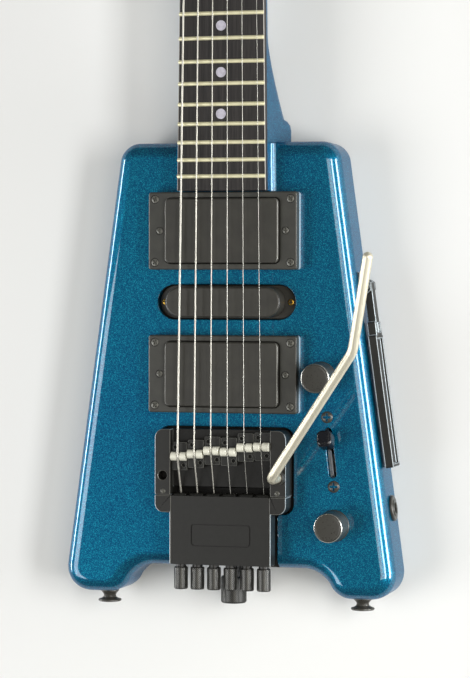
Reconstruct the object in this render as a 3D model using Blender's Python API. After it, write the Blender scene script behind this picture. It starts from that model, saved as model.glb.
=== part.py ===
"""Headless electric guitar with a spring tremolo, built as an assembly of its real pieces.

The guitar lies on its back. +X is the treble side, +Y runs up the neck and +Z comes out of
the front. The origin is on the centre line below the saddles, on the back face of the body.
All lengths are in metres. Names that end in _H are heights above the front face.
"""

import math

import bmesh
import bpy
from mathutils import Matrix, Vector

# Clearances, how far a cutter runs past what it cuts, and how far joined solids overlap
SEAT_GAP = 0.0003
GLUE_LINE = 0.0001
SLIDE_GAP = 0.0003
CUT_MARGIN = 0.010
JOIN_OVERLAP = 0.001

# Strings, from the bass side to the treble side
SCALE_LENGTH = 0.6477
FRET_COUNT = 24
NUT_PITCH = 0.0070
BRIDGE_PITCH = 0.0101
STRING_DIAMETERS = (0.00117, 0.00091, 0.00066, 0.00043, 0.00033, 0.00026)
SADDLE_PLACES = (-0.0026, -0.0011, 0.0010, 0.0005, 0.0032, 0.0038)
STRING_COUNT = len(STRING_DIAMETERS)
STRING_NUT_H = 0.0149
STRING_SADDLE_H = 0.0160
STRING_LIFT = 0.0001
STRING_END_ROOM = 0.001

# Body
BODY_THICKNESS = 0.040
BODY_TOP_Y = 0.1827
BODY_TOP_HALF = 0.0663
BODY_TOP_RADIUS = 0.012
HORN_END_Y = -0.086
HORN_END_HALF = 0.1032
HORN_OUTER_RADIUS = 0.015
HORN_INNER_X = 0.0658
HORN_INNER_RADIUS = 0.013
NOTCH_Y = -0.0687
NOTCH_CORNER_X = 0.0571
NOTCH_RADIUS = 0.0176
EDGE_RADIUS = 0.009
CORE_HALF = 0.033
FACE = BODY_THICKNESS

# Neck and fingerboard
NECK_RISE_H = 0.007
NECK_TOP = FACE + NECK_RISE_H
BOARD_THICKNESS = 0.006
BOARD_END_Y = 0.1535
BOARD_RADIUS = 0.356
BOARD_TOP = NECK_TOP + GLUE_LINE + BOARD_THICKNESS
NUT_HALF = 0.021
LAST_FRET_HALF = 0.02685
FRET_WIDTH = 0.0024
FRET_HEIGHT = 0.0010
BLOCK_FILLET = 0.004
HEEL_HALF = 0.0285
HEEL_BACK = 0.003
HEEL_LENGTH = 0.0163
HEEL_RISE = 0.002
HEEL_SWEEP_LENGTH = 0.044
HEEL_SWEEP = 2.2
NECK_ROOT_DEPTH = 0.013
HEEL_SQUARENESS = 8
RIDGE_SQUARENESS = 6
NECK_SQUARENESS = 2.5
HEEL_RIDGE_Y = BODY_TOP_Y + HEEL_LENGTH
HEEL_END_Y = HEEL_RIDGE_Y + HEEL_SWEEP_LENGTH
NECK_DEPTH_HEEL = 0.0172
NECK_DEPTH_NUT = 0.0140
NUT_THICKNESS = 0.0033
NUT_TOP_H = 0.0155
NUT_EDGE = 0.0008

# Headpiece
HEAD_LENGTH = 0.0220
HEAD_HALF = 0.0215
HEAD_TOP_H = 0.0185
HEAD_BOTTOM_H = -0.0060
HEAD_EDGE = 0.001
HEAD_RADIUS = 0.004
HEAD_SLOPE_DROP = 0.006
HEAD_SLOPE_LENGTH = 0.009
HEAD_SLOT_LENGTH = 0.012
TONGUE_LENGTH = 0.013
TONGUE_HALF = 0.015
TONGUE_TOP_H = 0.004
TONGUE_BOTTOM_H = -0.004

# Truss rod
ROD_DIAMETER = 0.0058
ROD_CHANNEL_DEPTH = 0.009
ROD_START_Y = HEEL_RIDGE_Y + 0.003
ROD_END_Y = SCALE_LENGTH - 0.0047
ROD_END_ROOM = 0.002

# Pickups
RING_LENGTH = 0.0902
RING_WIDTH = 0.0456
RING_TOP_H = 0.0098
RING_RADIUS = 0.0015
RING_EDGE = 0.0006
COVER_LENGTH = 0.0690
COVER_WIDTH = 0.0381
COVER_RADIUS = 0.003
COVER_TOP_H = 0.0126
COVER_EDGE = 0.0008
COVER_GAP = 0.0004
PICKUP_BOTTOM_H = -0.012
PICKUP_ROUT_GAP = 0.0005
PICKUP_ROUT_RADIUS = 0.0025
PICKUP_TAB_RISE = 0.001
PICKUP_TAB_LENGTH = 0.076
PICKUP_TAB_WIDTH = 0.016
PICKUP_TAB_THICKNESS = 0.002
NECK_PICKUP_Y = 0.1301
BRIDGE_PICKUP_Y = 0.0458
MIDDLE_PICKUP_Y = 0.0882
OVAL_ROUT_LENGTH = 0.084
OVAL_ROUT_WIDTH = 0.0206
OVAL_COVER_LENGTH = 0.070
OVAL_COVER_WIDTH = 0.018
OVAL_COVER_TOP_H = 0.0100
OVAL_TAB_TOP_H = -0.0035
OVAL_TAB_GAP = 0.0004

# Saddles
SADDLE_WIDTH = 0.0095
SADDLE_LENGTH = 0.0165
SADDLE_TOP_H = 0.012
SADDLE_EDGE = 0.0005
ROLLER_RADIUS = 0.0026
ROLLER_GROOVE_RADIUS = 0.0018
ROLLER_LENGTH = 0.0091
ROLLER_EDGE = 0.0003
ROLLER_GROOVE_HALF = 0.0009

# Tremolo carriage, whose cheeks stand clear of the outermost saddles
BED_SIDE_GAP = 0.0004
CHEEK_WIDTH = 0.0094
BED_HALF = (STRING_COUNT - 1) / 2 * BRIDGE_PITCH + SADDLE_WIDTH / 2 + BED_SIDE_GAP
CHEEK_X = BED_HALF + CHEEK_WIDTH / 2
FRAME_HALF = BED_HALF + CHEEK_WIDTH
FRAME_FRONT_Y = 0.0133
FRAME_REAR_Y = -0.0254
FRAME_RADIUS = 0.005
FRAME_EDGE = 0.0008
FRAME_TOP_H = 0.014
FRAME_BOTTOM_H = -0.001
BED_TOP_H = 0.008
BED_THICKNESS = 0.0022
BED_REAR_Y = -0.0205
FRONT_WALL = 0.0022
PIVOT_Y = 0.0055
PIVOT_H = 0.003
PIVOT_RADIUS = 0.0025
SHAFT_END_WALL = 0.0015
EAR_HALF = 0.004
EAR_THICKNESS = 0.003
EAR_SIDE_GAP = 0.0006
EAR_SWING_GAP = 0.0018
LOBE_LENGTH = 0.010
LOBE_BOTTOM_H = 0.0008
TAIL_HALF = 0.03075
TAIL_REAR_Y = -0.0662
TAIL_BOTTOM_H = 0.003
TAIL_COVER_THICKNESS = 0.002
TAIL_RIM = 0.0009
TAIL_REAR_WALL = 0.0047
TAIL_FLOOR = 0.0016
TAIL_EDGE = 0.0004
TAIL_COVER_EDGE = 0.0003
ROUT_FRAME_GAP = 0.0012
ROUT_TAIL_GAP = 0.0006
ROUT_DEPTH = 0.008
ROUT_INNER_RADIUS = 0.0015
BASE_THICKNESS = 0.0025
BASE_HALF = FRAME_HALF - 0.0023
BASE_REAR_Y = -0.034
BASE_FRONT_Y = 0.013
BASE_RADIUS = 0.004
BASE_WINDOW_REAR_Y = -0.022
BASE_WINDOW_FRONT_Y = 0.001
BASE_WINDOW_RADIUS = 0.002

# Jaws and tuners
JAW_WIDTH = 0.0076
JAW_LENGTH = 0.020
JAW_HEIGHT = 0.0068
JAW_NOSE_Y = -0.0243
JAW_BORE_DEPTH = 0.014
JAW_NOSE_RADIUS = 0.0014
TUNER_AXIS_H = 0.0082
TUNER_SCREW_RADIUS = 0.0015
TUNER_TIP_Y = -0.037
TUNER_COLLAR_LENGTH = 0.0015
TUNER_COLLAR_RADIUS = 0.003
TUNER_RADIUS = 0.0042
TUNER_LENGTH = 0.0132
TUNER_EDGE = 0.0005

# Spring and its adjuster
SPRING_AXIS_H = -0.018
SPRING_RADIUS = 0.008
SPRING_WIRE = 0.0020
SPRING_TURNS = 9
SPRING_END_PITCH = 1.25
LEVER_FRONT_Y = -0.004
LEVER_THICKNESS = 0.004
LEVER_HALF = 0.010
LEVER_BOTTOM_H = -0.027
LEVER_FLANGE_LENGTH = 0.012
LEVER_FLANGE_THICKNESS = 0.003
SPRING_BOSS_RADIUS = 0.005
SPRING_BOSS_LENGTH = 0.003
SPRING_SEAT_Y = -0.044
SPRING_SEAT_THICKNESS = 0.004
CAVITY_HALF = 0.012
CAVITY_FRONT_Y = 0.004
CAVITY_REAR_WALL = 0.0067
CAVITY_FLOOR = 0.008
CAVITY_RADIUS = 0.003
SPRING_ROD_RADIUS = 0.003
SPRING_ROD_TIP_Y = -0.036
SPRING_HUB_LENGTH = 0.0067
SPRING_HUB_RADIUS = 0.005
SPRING_KNOB_RADIUS = 0.00775
SPRING_KNOB_LENGTH = 0.016
SPRING_KNOB_EDGE = 0.0008
SPRING_SEAT_TOP_ROOM = 0.001

# Tremolo arm
ARM_Y = -0.014
ARM_RADIUS = 0.0029
ARM_LOW_BEND_H = 0.032
ARM_ELBOW = (0.0863, 0.0606, 0.045)
ARM_TIP = (0.0986, 0.1168, 0.060)
ARM_FOOT_H = 0.003
ARM_LOW_BEND_RADIUS = 0.007
ARM_ELBOW_RADIUS = 0.016
ARM_TIP_ROUNDS = ((0.6, 0.82), (0.97, 0.3))
COLLAR_RADIUS = 0.0042
COLLAR_HEIGHT = 0.003
COLLAR_SLEEVE_RADIUS = 0.0037
COLLAR_EDGE = 0.0006
SPARE_SOCKET_RADIUS = 0.003

# Controls, each set in from the treble side of the body
VOLUME_Y = 0.0442
VOLUME_INSET = 0.0278
TONE_Y = -0.0424
TONE_INSET = 0.0317
SWITCH_Y = 0.0002
SWITCH_INSET = 0.0282
KNOB_BASE_RADIUS = 0.00935
KNOB_TOP_RADIUS = 0.0086
KNOB_TOP_H = 0.0165
KNOB_BORE_DEPTH = 0.0121
KNOB_LOW_H = 0.0005
KNOB_SKIRT = 0.0015
KNOB_EDGE = 0.0012
POT_RADIUS = 0.012
POT_HEIGHT = 0.0107
POT_BUSH_RADIUS = 0.0035
POT_SHAFT_RADIUS = 0.003
POT_BUSH_TOP_H = 0.0002
CONTROL_WALL = 0.008
CONTROL_RADIUS = 0.017
CONTROL_LIP = 0.004
CONTROL_COVER_THICKNESS = 0.0017
CONTROL_RECESS = 0.0022
SWITCH_TILT = math.radians(6.6)
SLOT_LENGTH = 0.0295
SLOT_WIDTH = 0.0045
SWITCH_LENGTH = 0.040
SWITCH_WIDTH = 0.012
SWITCH_DEPTH = 0.019
SWITCH_PIVOT_H = -0.014
SWITCH_EDGE = 0.001
LEVER_TILT = math.radians(20)
BLADE_THICKNESS = 0.0016
BLADE_WIDTH = 0.004
LEVER_TIP_RISE = 0.0205
LEVER_TIP_HEIGHT = 0.008
LEVER_TIP_LENGTH = 0.010
LEVER_TIP_WIDTH = 0.009
LEVER_TIP_RADIUS = 0.003
LEVER_TIP_EDGE = 0.0015

# Jack and strap buttons
JACK_Y = -0.033
JACK_H = -0.020
JACK_FLANGE_RADIUS = 0.0076
JACK_FLANGE_THICKNESS = 0.002
JACK_FLANGE_EDGE = 0.0006
JACK_BARREL_RADIUS = 0.0046
JACK_BARREL_LENGTH = 0.017
JACK_BORE_RADIUS = 0.0033
JACK_BORE_DEPTH = 0.015
JACK_END_ROOM = 0.004
BUTTON_X = 0.0785
BUTTON_H = -0.020
BUTTON_LENGTH = 0.0083
BUTTON_HEAD_RADIUS = 0.007
BUTTON_WAIST_RADIUS = 0.0038
BUTTON_FOOT_RADIUS = 0.0056
BUTTON_FOOT_RIM = 0.0012
BUTTON_FOOT_HEIGHT = 0.003
BUTTON_HEAD_THICKNESS = 0.002
BUTTON_HEAD_FLARE = 0.0015
BUTTON_HEAD_EDGE = 0.0007

# Leg rest
REST_HINGE_Y = 0.097
REST_H = -0.0155
REST_REACH = 0.107
REST_DEPTH = 0.018
REST_THICKNESS = 0.005
REST_SHOULDER = 0.029
REST_SHOULDER_DEPTH = 0.0146
REST_TONGUE = 0.021
REST_TONGUE_DEPTH = 0.0085
REST_CHANNEL_DEPTH = 0.0018
REST_CHANNEL_WALL = 0.0013
REST_PIN_RADIUS = 0.0012
REST_PLATE_THICKNESS = 0.0012
REST_PLATE_GAP = 0.0006
REST_PLATE_LENGTH = 0.018
REST_LUG_THICKNESS = 0.0025
REST_LUG_LENGTH = 0.0126
REST_LUG_RADIUS = 0.002
REST_CHANNEL_END = 0.002
REST_HINGE_ROUND = 0.0023

ROUND = 24
SMALL_ROUND = 12


def clear_scene():
    for item in list(bpy.data.objects):
        bpy.data.objects.remove(item, do_unlink=True)


def material(name, colour, roughness, metallic):
    made = bpy.data.materials.new(name)
    made.use_nodes = True
    shader = made.node_tree.nodes["Principled BSDF"]
    shader.inputs["Base Color"].default_value = (*colour, 1.0)
    shader.inputs["Roughness"].default_value = roughness
    shader.inputs["Metallic"].default_value = metallic
    return made


def add_object(name, bm):
    """Turn a bmesh into a linked object with its normals facing out."""
    bmesh.ops.remove_doubles(bm, verts=bm.verts, dist=1e-7)
    bmesh.ops.recalc_face_normals(bm, faces=bm.faces)
    mesh = bpy.data.meshes.new(name)
    bm.to_mesh(mesh)
    bm.free()
    made = bpy.data.objects.new(name, mesh)
    bpy.context.collection.objects.link(made)
    return made


def finish(piece, name, surface, origin=(0, 0, 0), holder=None):
    """Name a piece, colour it, shade it and put its origin on its own axis."""
    piece.name = name
    piece.data.name = name
    piece.data.materials.clear()
    piece.data.materials.append(surface)
    if piece.type == "MESH":
        piece.data.shade_smooth()
        piece.data.set_sharp_from_angle(angle=math.radians(32))
    point = Vector(origin)
    piece.data.transform(Matrix.Translation(-point))
    piece.location = point
    if holder is not None:
        piece.parent = holder
        piece.location = point - holder.location
    return piece


def axis_empty(name, point):
    """An empty on a joint's axis, which carries the pieces that move about it."""
    made = bpy.data.objects.new(name, None)
    made.empty_display_size = 0.02
    made.location = point
    bpy.context.collection.objects.link(made)
    return made


def bake(piece):
    """Replace a piece's mesh by the result of its modifiers."""
    graph = bpy.context.evaluated_depsgraph_get()
    result = bpy.data.meshes.new_from_object(piece.evaluated_get(graph))
    piece.modifiers.clear()
    piece.data = result


def combine(piece, others, operation):
    """Join other solids to a piece, or cut them out of it, and use them up."""
    for other in others:
        step = piece.modifiers.new(operation.lower(), "BOOLEAN")
        step.operation = operation
        step.solver = "EXACT"
        step.object = other
    bake(piece)
    for other in others:
        bpy.data.objects.remove(other, do_unlink=True)
    return piece


def cut(piece, others):
    return combine(piece, others, "DIFFERENCE")


def join(piece, others):
    return combine(piece, others, "UNION")


def rounded_outline(corners, steps):
    """Outline through (x, y, radius) corners, with an arc of that radius in each."""
    points = []
    count = len(corners)
    for index, (x, y, radius) in enumerate(corners):
        here = Vector((x, y))
        back = (Vector(corners[index - 1][:2]) - here).normalized()
        ahead = (Vector(corners[(index + 1) % count][:2]) - here).normalized()
        opening = math.acos(max(-1.0, min(1.0, back.dot(ahead))))
        if radius <= 0 or opening > math.radians(179):
            points.append(here)
            continue
        reach = radius / math.tan(opening / 2)
        middle = here + (back + ahead).normalized() * (radius / math.sin(opening / 2))
        first = here + back * reach - middle
        last = here + ahead * reach - middle
        turn = math.atan2(first.x * last.y - first.y * last.x, first.dot(last))
        parts = max(2, round(abs(turn) / (math.pi / 2) * steps))
        for step in range(parts + 1):
            points.append(middle + Matrix.Rotation(turn * step / parts, 2) @ first)
    return points


def rectangle(half_x, low_y, high_y, radius, steps=3):
    corners = [(-half_x, low_y), (half_x, low_y), (half_x, high_y), (-half_x, high_y)]
    return rounded_outline([(x, y, radius) for x, y in corners], steps)


def stadium(length, width, steps=6):
    """Outline with round ends, long along X, centred on the origin."""
    return rectangle(length / 2, -width / 2, width / 2, width / 2 - 1e-6, steps)


def prism(outline, low, high, place=None):
    """Solid between two heights over an outline, moved by a matrix if one is given."""
    bm = bmesh.new()
    base = bm.faces.new([bm.verts.new((x, y, low)) for x, y in outline])
    grown = bmesh.ops.extrude_face_region(bm, geom=[base])
    raised = [item for item in grown["geom"] if isinstance(item, bmesh.types.BMVert)]
    bmesh.ops.translate(bm, verts=raised, vec=(0, 0, high - low))
    if place is not None:
        bmesh.ops.transform(bm, matrix=place, verts=bm.verts)
    return add_object("prism", bm)


def box(low, high):
    outline = [(low[0], low[1]), (high[0], low[1]), (high[0], high[1]), (low[0], high[1])]
    return prism(outline, low[2], high[2])


def soften(piece, radius, steps, chosen):
    """Round the edges that the test picks, given each edge's two ends."""
    bm = bmesh.new()
    bm.from_mesh(piece.data)
    edges = [edge for edge in bm.edges if chosen(edge.verts[0].co, edge.verts[1].co)]
    bmesh.ops.bevel(bm, geom=edges, offset=radius, offset_type="OFFSET", affect="EDGES",
                    segments=steps, profile=0.5, material=-1, clamp_overlap=False)
    bm.to_mesh(piece.data)
    bm.free()
    return piece


def soften_level(piece, radius, steps, height):
    """Round every edge that lies at one height."""
    return soften(piece, radius, steps,
                  lambda a, b: abs(a.z - height) < 1e-6 and abs(b.z - height) < 1e-6)


def turned(profile, place, steps=ROUND):
    """Solid of revolution: (radius, height) points, spun round the place's Z axis."""
    bm = bmesh.new()
    verts = [bm.verts.new((radius, 0, height)) for radius, height in profile]
    for first, second in zip(verts, verts[1:]):
        bm.edges.new((first, second))
    bmesh.ops.spin(bm, geom=bm.verts[:] + bm.edges[:], cent=(0, 0, 0), axis=(0, 0, 1),
                   dvec=(0, 0, 0), angle=2 * math.pi, steps=steps, use_merge=True)
    bmesh.ops.remove_doubles(bm, verts=bm.verts, dist=1e-7)
    bmesh.ops.transform(bm, matrix=place, verts=bm.verts)
    return add_object("turned", bm)


def along(start, direction):
    """Matrix that stands the Z axis at a point, along a direction."""
    turn = Vector(direction).to_track_quat("Z", "Y").to_matrix().to_4x4()
    return Matrix.Translation(start) @ turn


def across(start):
    """Matrix that stands an outline in the Y-Z plane and raises it along X from a start."""
    return Matrix(((0, 0, 1, start), (1, 0, 0, 0), (0, 1, 0, 0), (0, 0, 0, 1)))


def rod(start, end, radius, steps=SMALL_ROUND):
    length = (Vector(end) - Vector(start)).length
    profile = [(0, 0), (radius, 0), (radius, length), (0, length)]
    return turned(profile, along(start, Vector(end) - Vector(start)), steps)


def loft(rings):
    """Closed skin over rings of points that all have the same count."""
    bm = bmesh.new()
    rows = [[bm.verts.new(point) for point in ring] for ring in rings]
    count = len(rows[0])
    for row, following in zip(rows, rows[1:]):
        for index in range(count):
            after = (index + 1) % count
            bm.faces.new((row[index], row[after], following[after], following[index]))
    bm.faces.new(rows[0])
    bm.faces.new(rows[-1])
    return add_object("loft", bm)


def wire(name, points, radius, resolution):
    """Closed tube along points, made from a curve with a round bevel."""
    curve = bpy.data.curves.new(name, "CURVE")
    curve.dimensions = "3D"
    curve.bevel_depth = radius
    curve.bevel_resolution = resolution
    curve.render_resolution_u = 0
    curve.use_fill_caps = True
    spline = curve.splines.new("POLY")
    spline.points.add(len(points) - 1)
    for target, point in zip(spline.points, points):
        target.co = (*point, 1)
    made = bpy.data.objects.new(name, curve)
    bpy.context.collection.objects.link(made)
    return made


def keep_between(piece, low_x, high_x):
    """Cut a piece off at two planes across X and close the cuts."""
    bm = bmesh.new()
    bm.from_mesh(piece.data)
    for place, facing in ((low_x, -1), (high_x, 1)):
        if place is None:
            continue
        geometry = bm.verts[:] + bm.edges[:] + bm.faces[:]
        bmesh.ops.bisect_plane(bm, geom=geometry, plane_co=(place, 0, 0),
                               plane_no=(facing, 0, 0), clear_outer=True)
        rim = [edge for edge in bm.edges if edge.is_boundary]
        bmesh.ops.contextual_create(bm, geom=rim)
    bmesh.ops.recalc_face_normals(bm, faces=bm.faces)
    bm.to_mesh(piece.data)
    bm.free()
    return piece


def mirrored(corners):
    """Right-hand corners of an outline, bottom to top, and their left-hand twins."""
    return corners + [(-x, y, radius) for x, y, radius in reversed(corners)]


def copy_solid(piece):
    twin = bpy.data.objects.new(piece.name, piece.data.copy())
    bpy.context.collection.objects.link(twin)
    return twin


def string_x(index, pitch):
    return (index - (STRING_COUNT - 1) / 2) * pitch


def string_number(index):
    """Strings are numbered from the thinnest."""
    return STRING_COUNT - index


def board_half(y):
    """Half width of the fingerboard, which tapers towards the nut."""
    last_fret = SCALE_LENGTH / 2 ** (FRET_COUNT / 12)
    share = (SCALE_LENGTH - y) / (SCALE_LENGTH - last_fret)
    return NUT_HALF + (LAST_FRET_HALF - NUT_HALF) * share


def side_angle():
    """Angle of the body's straight sides to the centre line."""
    return math.atan2(HORN_END_HALF - BODY_TOP_HALF, BODY_TOP_Y - HORN_END_Y)


def side_x(y):
    """Place of the body's straight treble side."""
    return BODY_TOP_HALF + (BODY_TOP_Y - y) * math.tan(side_angle())


def control_at(y, inset):
    return (side_x(y) - inset, y)


def treble_side(y, height, outward=0.0):
    """Frame on the treble side: X out of the side, Y up along it, Z out of the front."""
    turn = Matrix.Rotation(side_angle(), 4, "Z")
    start = Matrix.Translation((side_x(y), y, FACE + height))
    return start @ turn @ Matrix.Translation((outward, 0, 0))


def body_slab():
    """Whole body blank: trapezoid, two tail horns and a rounded edge all round."""
    corners = mirrored([
        (NOTCH_CORNER_X, NOTCH_Y, NOTCH_RADIUS),
        (HORN_INNER_X, HORN_END_Y, HORN_INNER_RADIUS),
        (HORN_END_HALF, HORN_END_Y, HORN_OUTER_RADIUS),
        (BODY_TOP_HALF, BODY_TOP_Y, BODY_TOP_RADIUS),
    ])
    blank = prism(rounded_outline(corners, 6), 0, BODY_THICKNESS)
    soften_level(blank, EDGE_RADIUS, 4, BODY_THICKNESS)
    return soften_level(blank, EDGE_RADIUS, 4, 0)


def neck_ring(y, half, depth, squareness):
    """Section of the neck: flat on top and no wider there than the board, round behind."""
    points = []
    for step in range(17):
        angle = math.pi * step / 16
        reach = math.copysign(abs(math.cos(angle)) ** (2 / squareness), math.cos(angle))
        points.append((half * reach, y, NECK_TOP - depth * math.sin(angle) ** (2 / squareness)))
    top_half = min(half, board_half(y))
    points[0] = (top_half, y, NECK_TOP)
    points[-1] = (-top_half, y, NECK_TOP)
    return points


def neck_blank():
    """Neck from inside the body, over the heel, to the end that carries the headpiece."""
    heel_depth = NECK_TOP - HEEL_BACK
    ridge_depth = heel_depth - HEEL_RISE
    rings = [neck_ring(BODY_TOP_Y - NECK_ROOT_DEPTH, HEEL_HALF, heel_depth, HEEL_SQUARENESS),
             neck_ring(BODY_TOP_Y + HEEL_LENGTH / 4, HEEL_HALF, heel_depth, HEEL_SQUARENESS),
             neck_ring(HEEL_RIDGE_Y, HEEL_HALF, ridge_depth, RIDGE_SQUARENESS)]
    for step in range(1, 8):
        share = step / 7
        y = HEEL_RIDGE_Y + (HEEL_END_Y - HEEL_RIDGE_Y) * share
        half = HEEL_HALF + (board_half(y) - HEEL_HALF) * share
        fall = (ridge_depth - NECK_DEPTH_HEEL) * (1 - share) ** HEEL_SWEEP
        square = NECK_SQUARENESS + (RIDGE_SQUARENESS - NECK_SQUARENESS) * (1 - share) ** 1.5
        rings.append(neck_ring(y, half, NECK_DEPTH_HEEL + fall, square))
    neck_end = SCALE_LENGTH + NUT_THICKNESS
    for step in range(1, 7):
        share = step / 6
        y = HEEL_END_Y + (neck_end - HEEL_END_Y) * share
        depth = NECK_DEPTH_HEEL + (NECK_DEPTH_NUT - NECK_DEPTH_HEEL) * share
        rings.append(neck_ring(y, board_half(y), depth, NECK_SQUARENESS))
    return loft(rings)


def neck_block():
    """Raised block under the end of the fingerboard, with a fillet down to the face."""
    steps = 4
    rings = []
    for y in (BOARD_END_Y, BODY_TOP_Y + JOIN_OVERLAP):
        half = board_half(y)
        right = [(half, y, NECK_TOP), (half, y, FACE + BLOCK_FILLET)]
        for step in range(1, steps + 1):
            angle = math.pi / 2 * step / steps
            x = half + BLOCK_FILLET * (1 - math.cos(angle))
            right.append((x, y, FACE + BLOCK_FILLET * (1 - math.sin(angle))))
        right.append((half + BLOCK_FILLET, y, FACE - JOIN_OVERLAP))
        rings.append(right + [(-x, y, z) for x, y, z in reversed(right)])
    return loft(rings)


def tremolo_rout():
    """Pocket for the carriage: wide under the frame, narrower out to the tail."""
    wide = FRAME_HALF + ROUT_FRAME_GAP
    narrow = TAIL_HALF + ROUT_TAIL_GAP
    step_y = FRAME_REAR_Y - LOBE_LENGTH - SEAT_GAP - ROUT_FRAME_GAP
    corner = FRAME_RADIUS + ROUT_FRAME_GAP
    corners = mirrored([
        (narrow, NOTCH_Y - CUT_MARGIN, 0),
        (narrow, step_y, ROUT_INNER_RADIUS),
        (wide, step_y, corner),
        (wide, FRAME_FRONT_Y + ROUT_FRAME_GAP, corner),
    ])
    return prism(rounded_outline(corners, 4), FACE - ROUT_DEPTH, FACE + CUT_MARGIN)


def spring_cavity():
    rear = NOTCH_Y + CAVITY_REAR_WALL
    pocket = rectangle(CAVITY_HALF, rear, CAVITY_FRONT_Y, CAVITY_RADIUS)
    return prism(pocket, CAVITY_FLOOR, FACE - ROUT_DEPTH + JOIN_OVERLAP)


def spring_rod_hole():
    height = FACE + SPRING_AXIS_H
    start = (0, NOTCH_Y - CUT_MARGIN, height)
    end = (0, NOTCH_Y + CAVITY_REAR_WALL + CUT_MARGIN, height)
    return rod(start, end, SPRING_ROD_RADIUS + 2 * SLIDE_GAP, ROUND)


def pickup_rout(y):
    half_x = PICKUP_TAB_LENGTH / 2 + PICKUP_ROUT_GAP
    half_y = COVER_WIDTH / 2 + PICKUP_ROUT_GAP
    pocket = rectangle(half_x, y - half_y, y + half_y, PICKUP_ROUT_RADIUS)
    return prism(pocket, FACE + PICKUP_BOTTOM_H - SEAT_GAP, FACE + CUT_MARGIN)


def oval_rout():
    place = Matrix.Translation((0, MIDDLE_PICKUP_Y, 0))
    pocket = stadium(OVAL_ROUT_LENGTH, OVAL_ROUT_WIDTH, 8)
    return prism(pocket, FACE + PICKUP_BOTTOM_H - SEAT_GAP, FACE + CUT_MARGIN, place)


def control_outline(radius):
    """Slanted oval round the two pots."""
    high = Vector(control_at(VOLUME_Y, VOLUME_INSET))
    low = Vector(control_at(TONE_Y, TONE_INSET))
    middle = (high + low) / 2
    lie = high - low
    shape = stadium(lie.length + 2 * radius, 2 * radius, 8)
    turn = Matrix.Rotation(math.atan2(lie.y, lie.x), 2)
    return [middle + turn @ point for point in shape]


def control_cuts():
    """Cavity and cover recess from the back, and the holes out to the front and side."""
    ceiling = FACE - CONTROL_WALL
    cuts = [prism(control_outline(CONTROL_RADIUS), -CUT_MARGIN, ceiling),
            prism(control_outline(CONTROL_RADIUS + CONTROL_LIP), -2 * CUT_MARGIN, CONTROL_RECESS)]
    low = ceiling - JOIN_OVERLAP
    high = FACE + CUT_MARGIN
    for x, y in (control_at(VOLUME_Y, VOLUME_INSET), control_at(TONE_Y, TONE_INSET)):
        cuts.append(rod((x, y, low), (x, y, high), POT_BUSH_RADIUS + SEAT_GAP))
    place = switch_frame() @ Matrix.Rotation(math.pi / 2, 4, "Z")
    cuts.append(prism(stadium(SLOT_LENGTH, SLOT_WIDTH), low, high, place))
    side = treble_side(JACK_Y, JACK_H)
    mouth = side @ Vector((CUT_MARGIN, 0, 0))
    inside = side @ Vector((-JACK_BARREL_LENGTH - JACK_END_ROOM, 0, 0))
    cuts.append(rod(mouth, inside, JACK_BARREL_RADIUS + SEAT_GAP, ROUND))
    return cuts


def switch_frame():
    """Frame of the selector: Y along its slot, X across it."""
    start = Matrix.Translation((*control_at(SWITCH_Y, SWITCH_INSET), 0))
    return start @ Matrix.Rotation(SWITCH_TILT, 4, "Z")


def truss_channel():
    half = ROD_DIAMETER / 2 + SLIDE_GAP
    floor = NECK_TOP - ROD_CHANNEL_DEPTH
    low = (-half, ROD_START_Y - ROD_END_ROOM, floor)
    return box(low, (half, ROD_END_Y + ROD_END_ROOM, NECK_TOP + CUT_MARGIN))


def build_timber(lacquer):
    """Centre core with the neck, and the two body wings glued to it."""
    shared = [tremolo_rout, oval_rout]
    blank = body_slab()
    inner = CORE_HALF - GLUE_LINE / 2
    outer = CORE_HALF + GLUE_LINE / 2
    core = keep_between(copy_solid(blank), -inner, inner)
    bass = keep_between(copy_solid(blank), None, -outer)
    treble = keep_between(blank, outer, None)

    join(core, [neck_blank(), neck_block()])
    neck_end = SCALE_LENGTH + NUT_THICKNESS
    tongue = box((-TONGUE_HALF, neck_end - JOIN_OVERLAP, FACE + TONGUE_BOTTOM_H),
                 (TONGUE_HALF, neck_end + TONGUE_LENGTH, FACE + TONGUE_TOP_H))
    join(core, [tongue])
    for timber in (core, bass, treble):
        cuts = [make() for make in shared]
        cuts += [pickup_rout(NECK_PICKUP_Y), pickup_rout(BRIDGE_PICKUP_Y)]
        cut(timber, cuts)
    cut(core, [spring_cavity(), spring_rod_hole(), truss_channel()])
    cut(treble, control_cuts())
    finish(core, "neck_core", lacquer)
    finish(bass, "bass_wing", lacquer)
    finish(treble, "treble_wing", lacquer)


def build_fingerboard(rosewood):
    """Board with a round top and its frets, each fret a raised bar across it."""
    slices = 8

    def ring(y, lift):
        half = board_half(y)
        base = NECK_TOP + GLUE_LINE
        points = [(-half, y, base), (half, y, base)]
        for step in range(slices + 1):
            x = half - 2 * half * step / slices
            drop = BOARD_RADIUS - math.sqrt(BOARD_RADIUS ** 2 - x ** 2)
            points.append((x, y, BOARD_TOP - drop + lift))
        return points

    rings = [ring(BOARD_END_Y, 0)]
    for fret in range(FRET_COUNT, 0, -1):
        y = SCALE_LENGTH / 2 ** (fret / 12)
        rings.append(ring(y - FRET_WIDTH / 2, 0))
        rings.append(ring(y - FRET_WIDTH / 4, FRET_HEIGHT))
        rings.append(ring(y + FRET_WIDTH / 4, FRET_HEIGHT))
        rings.append(ring(y + FRET_WIDTH / 2, 0))
    rings.append(ring(SCALE_LENGTH - SEAT_GAP, 0))
    finish(loft(rings), "fingerboard", rosewood)


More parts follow.
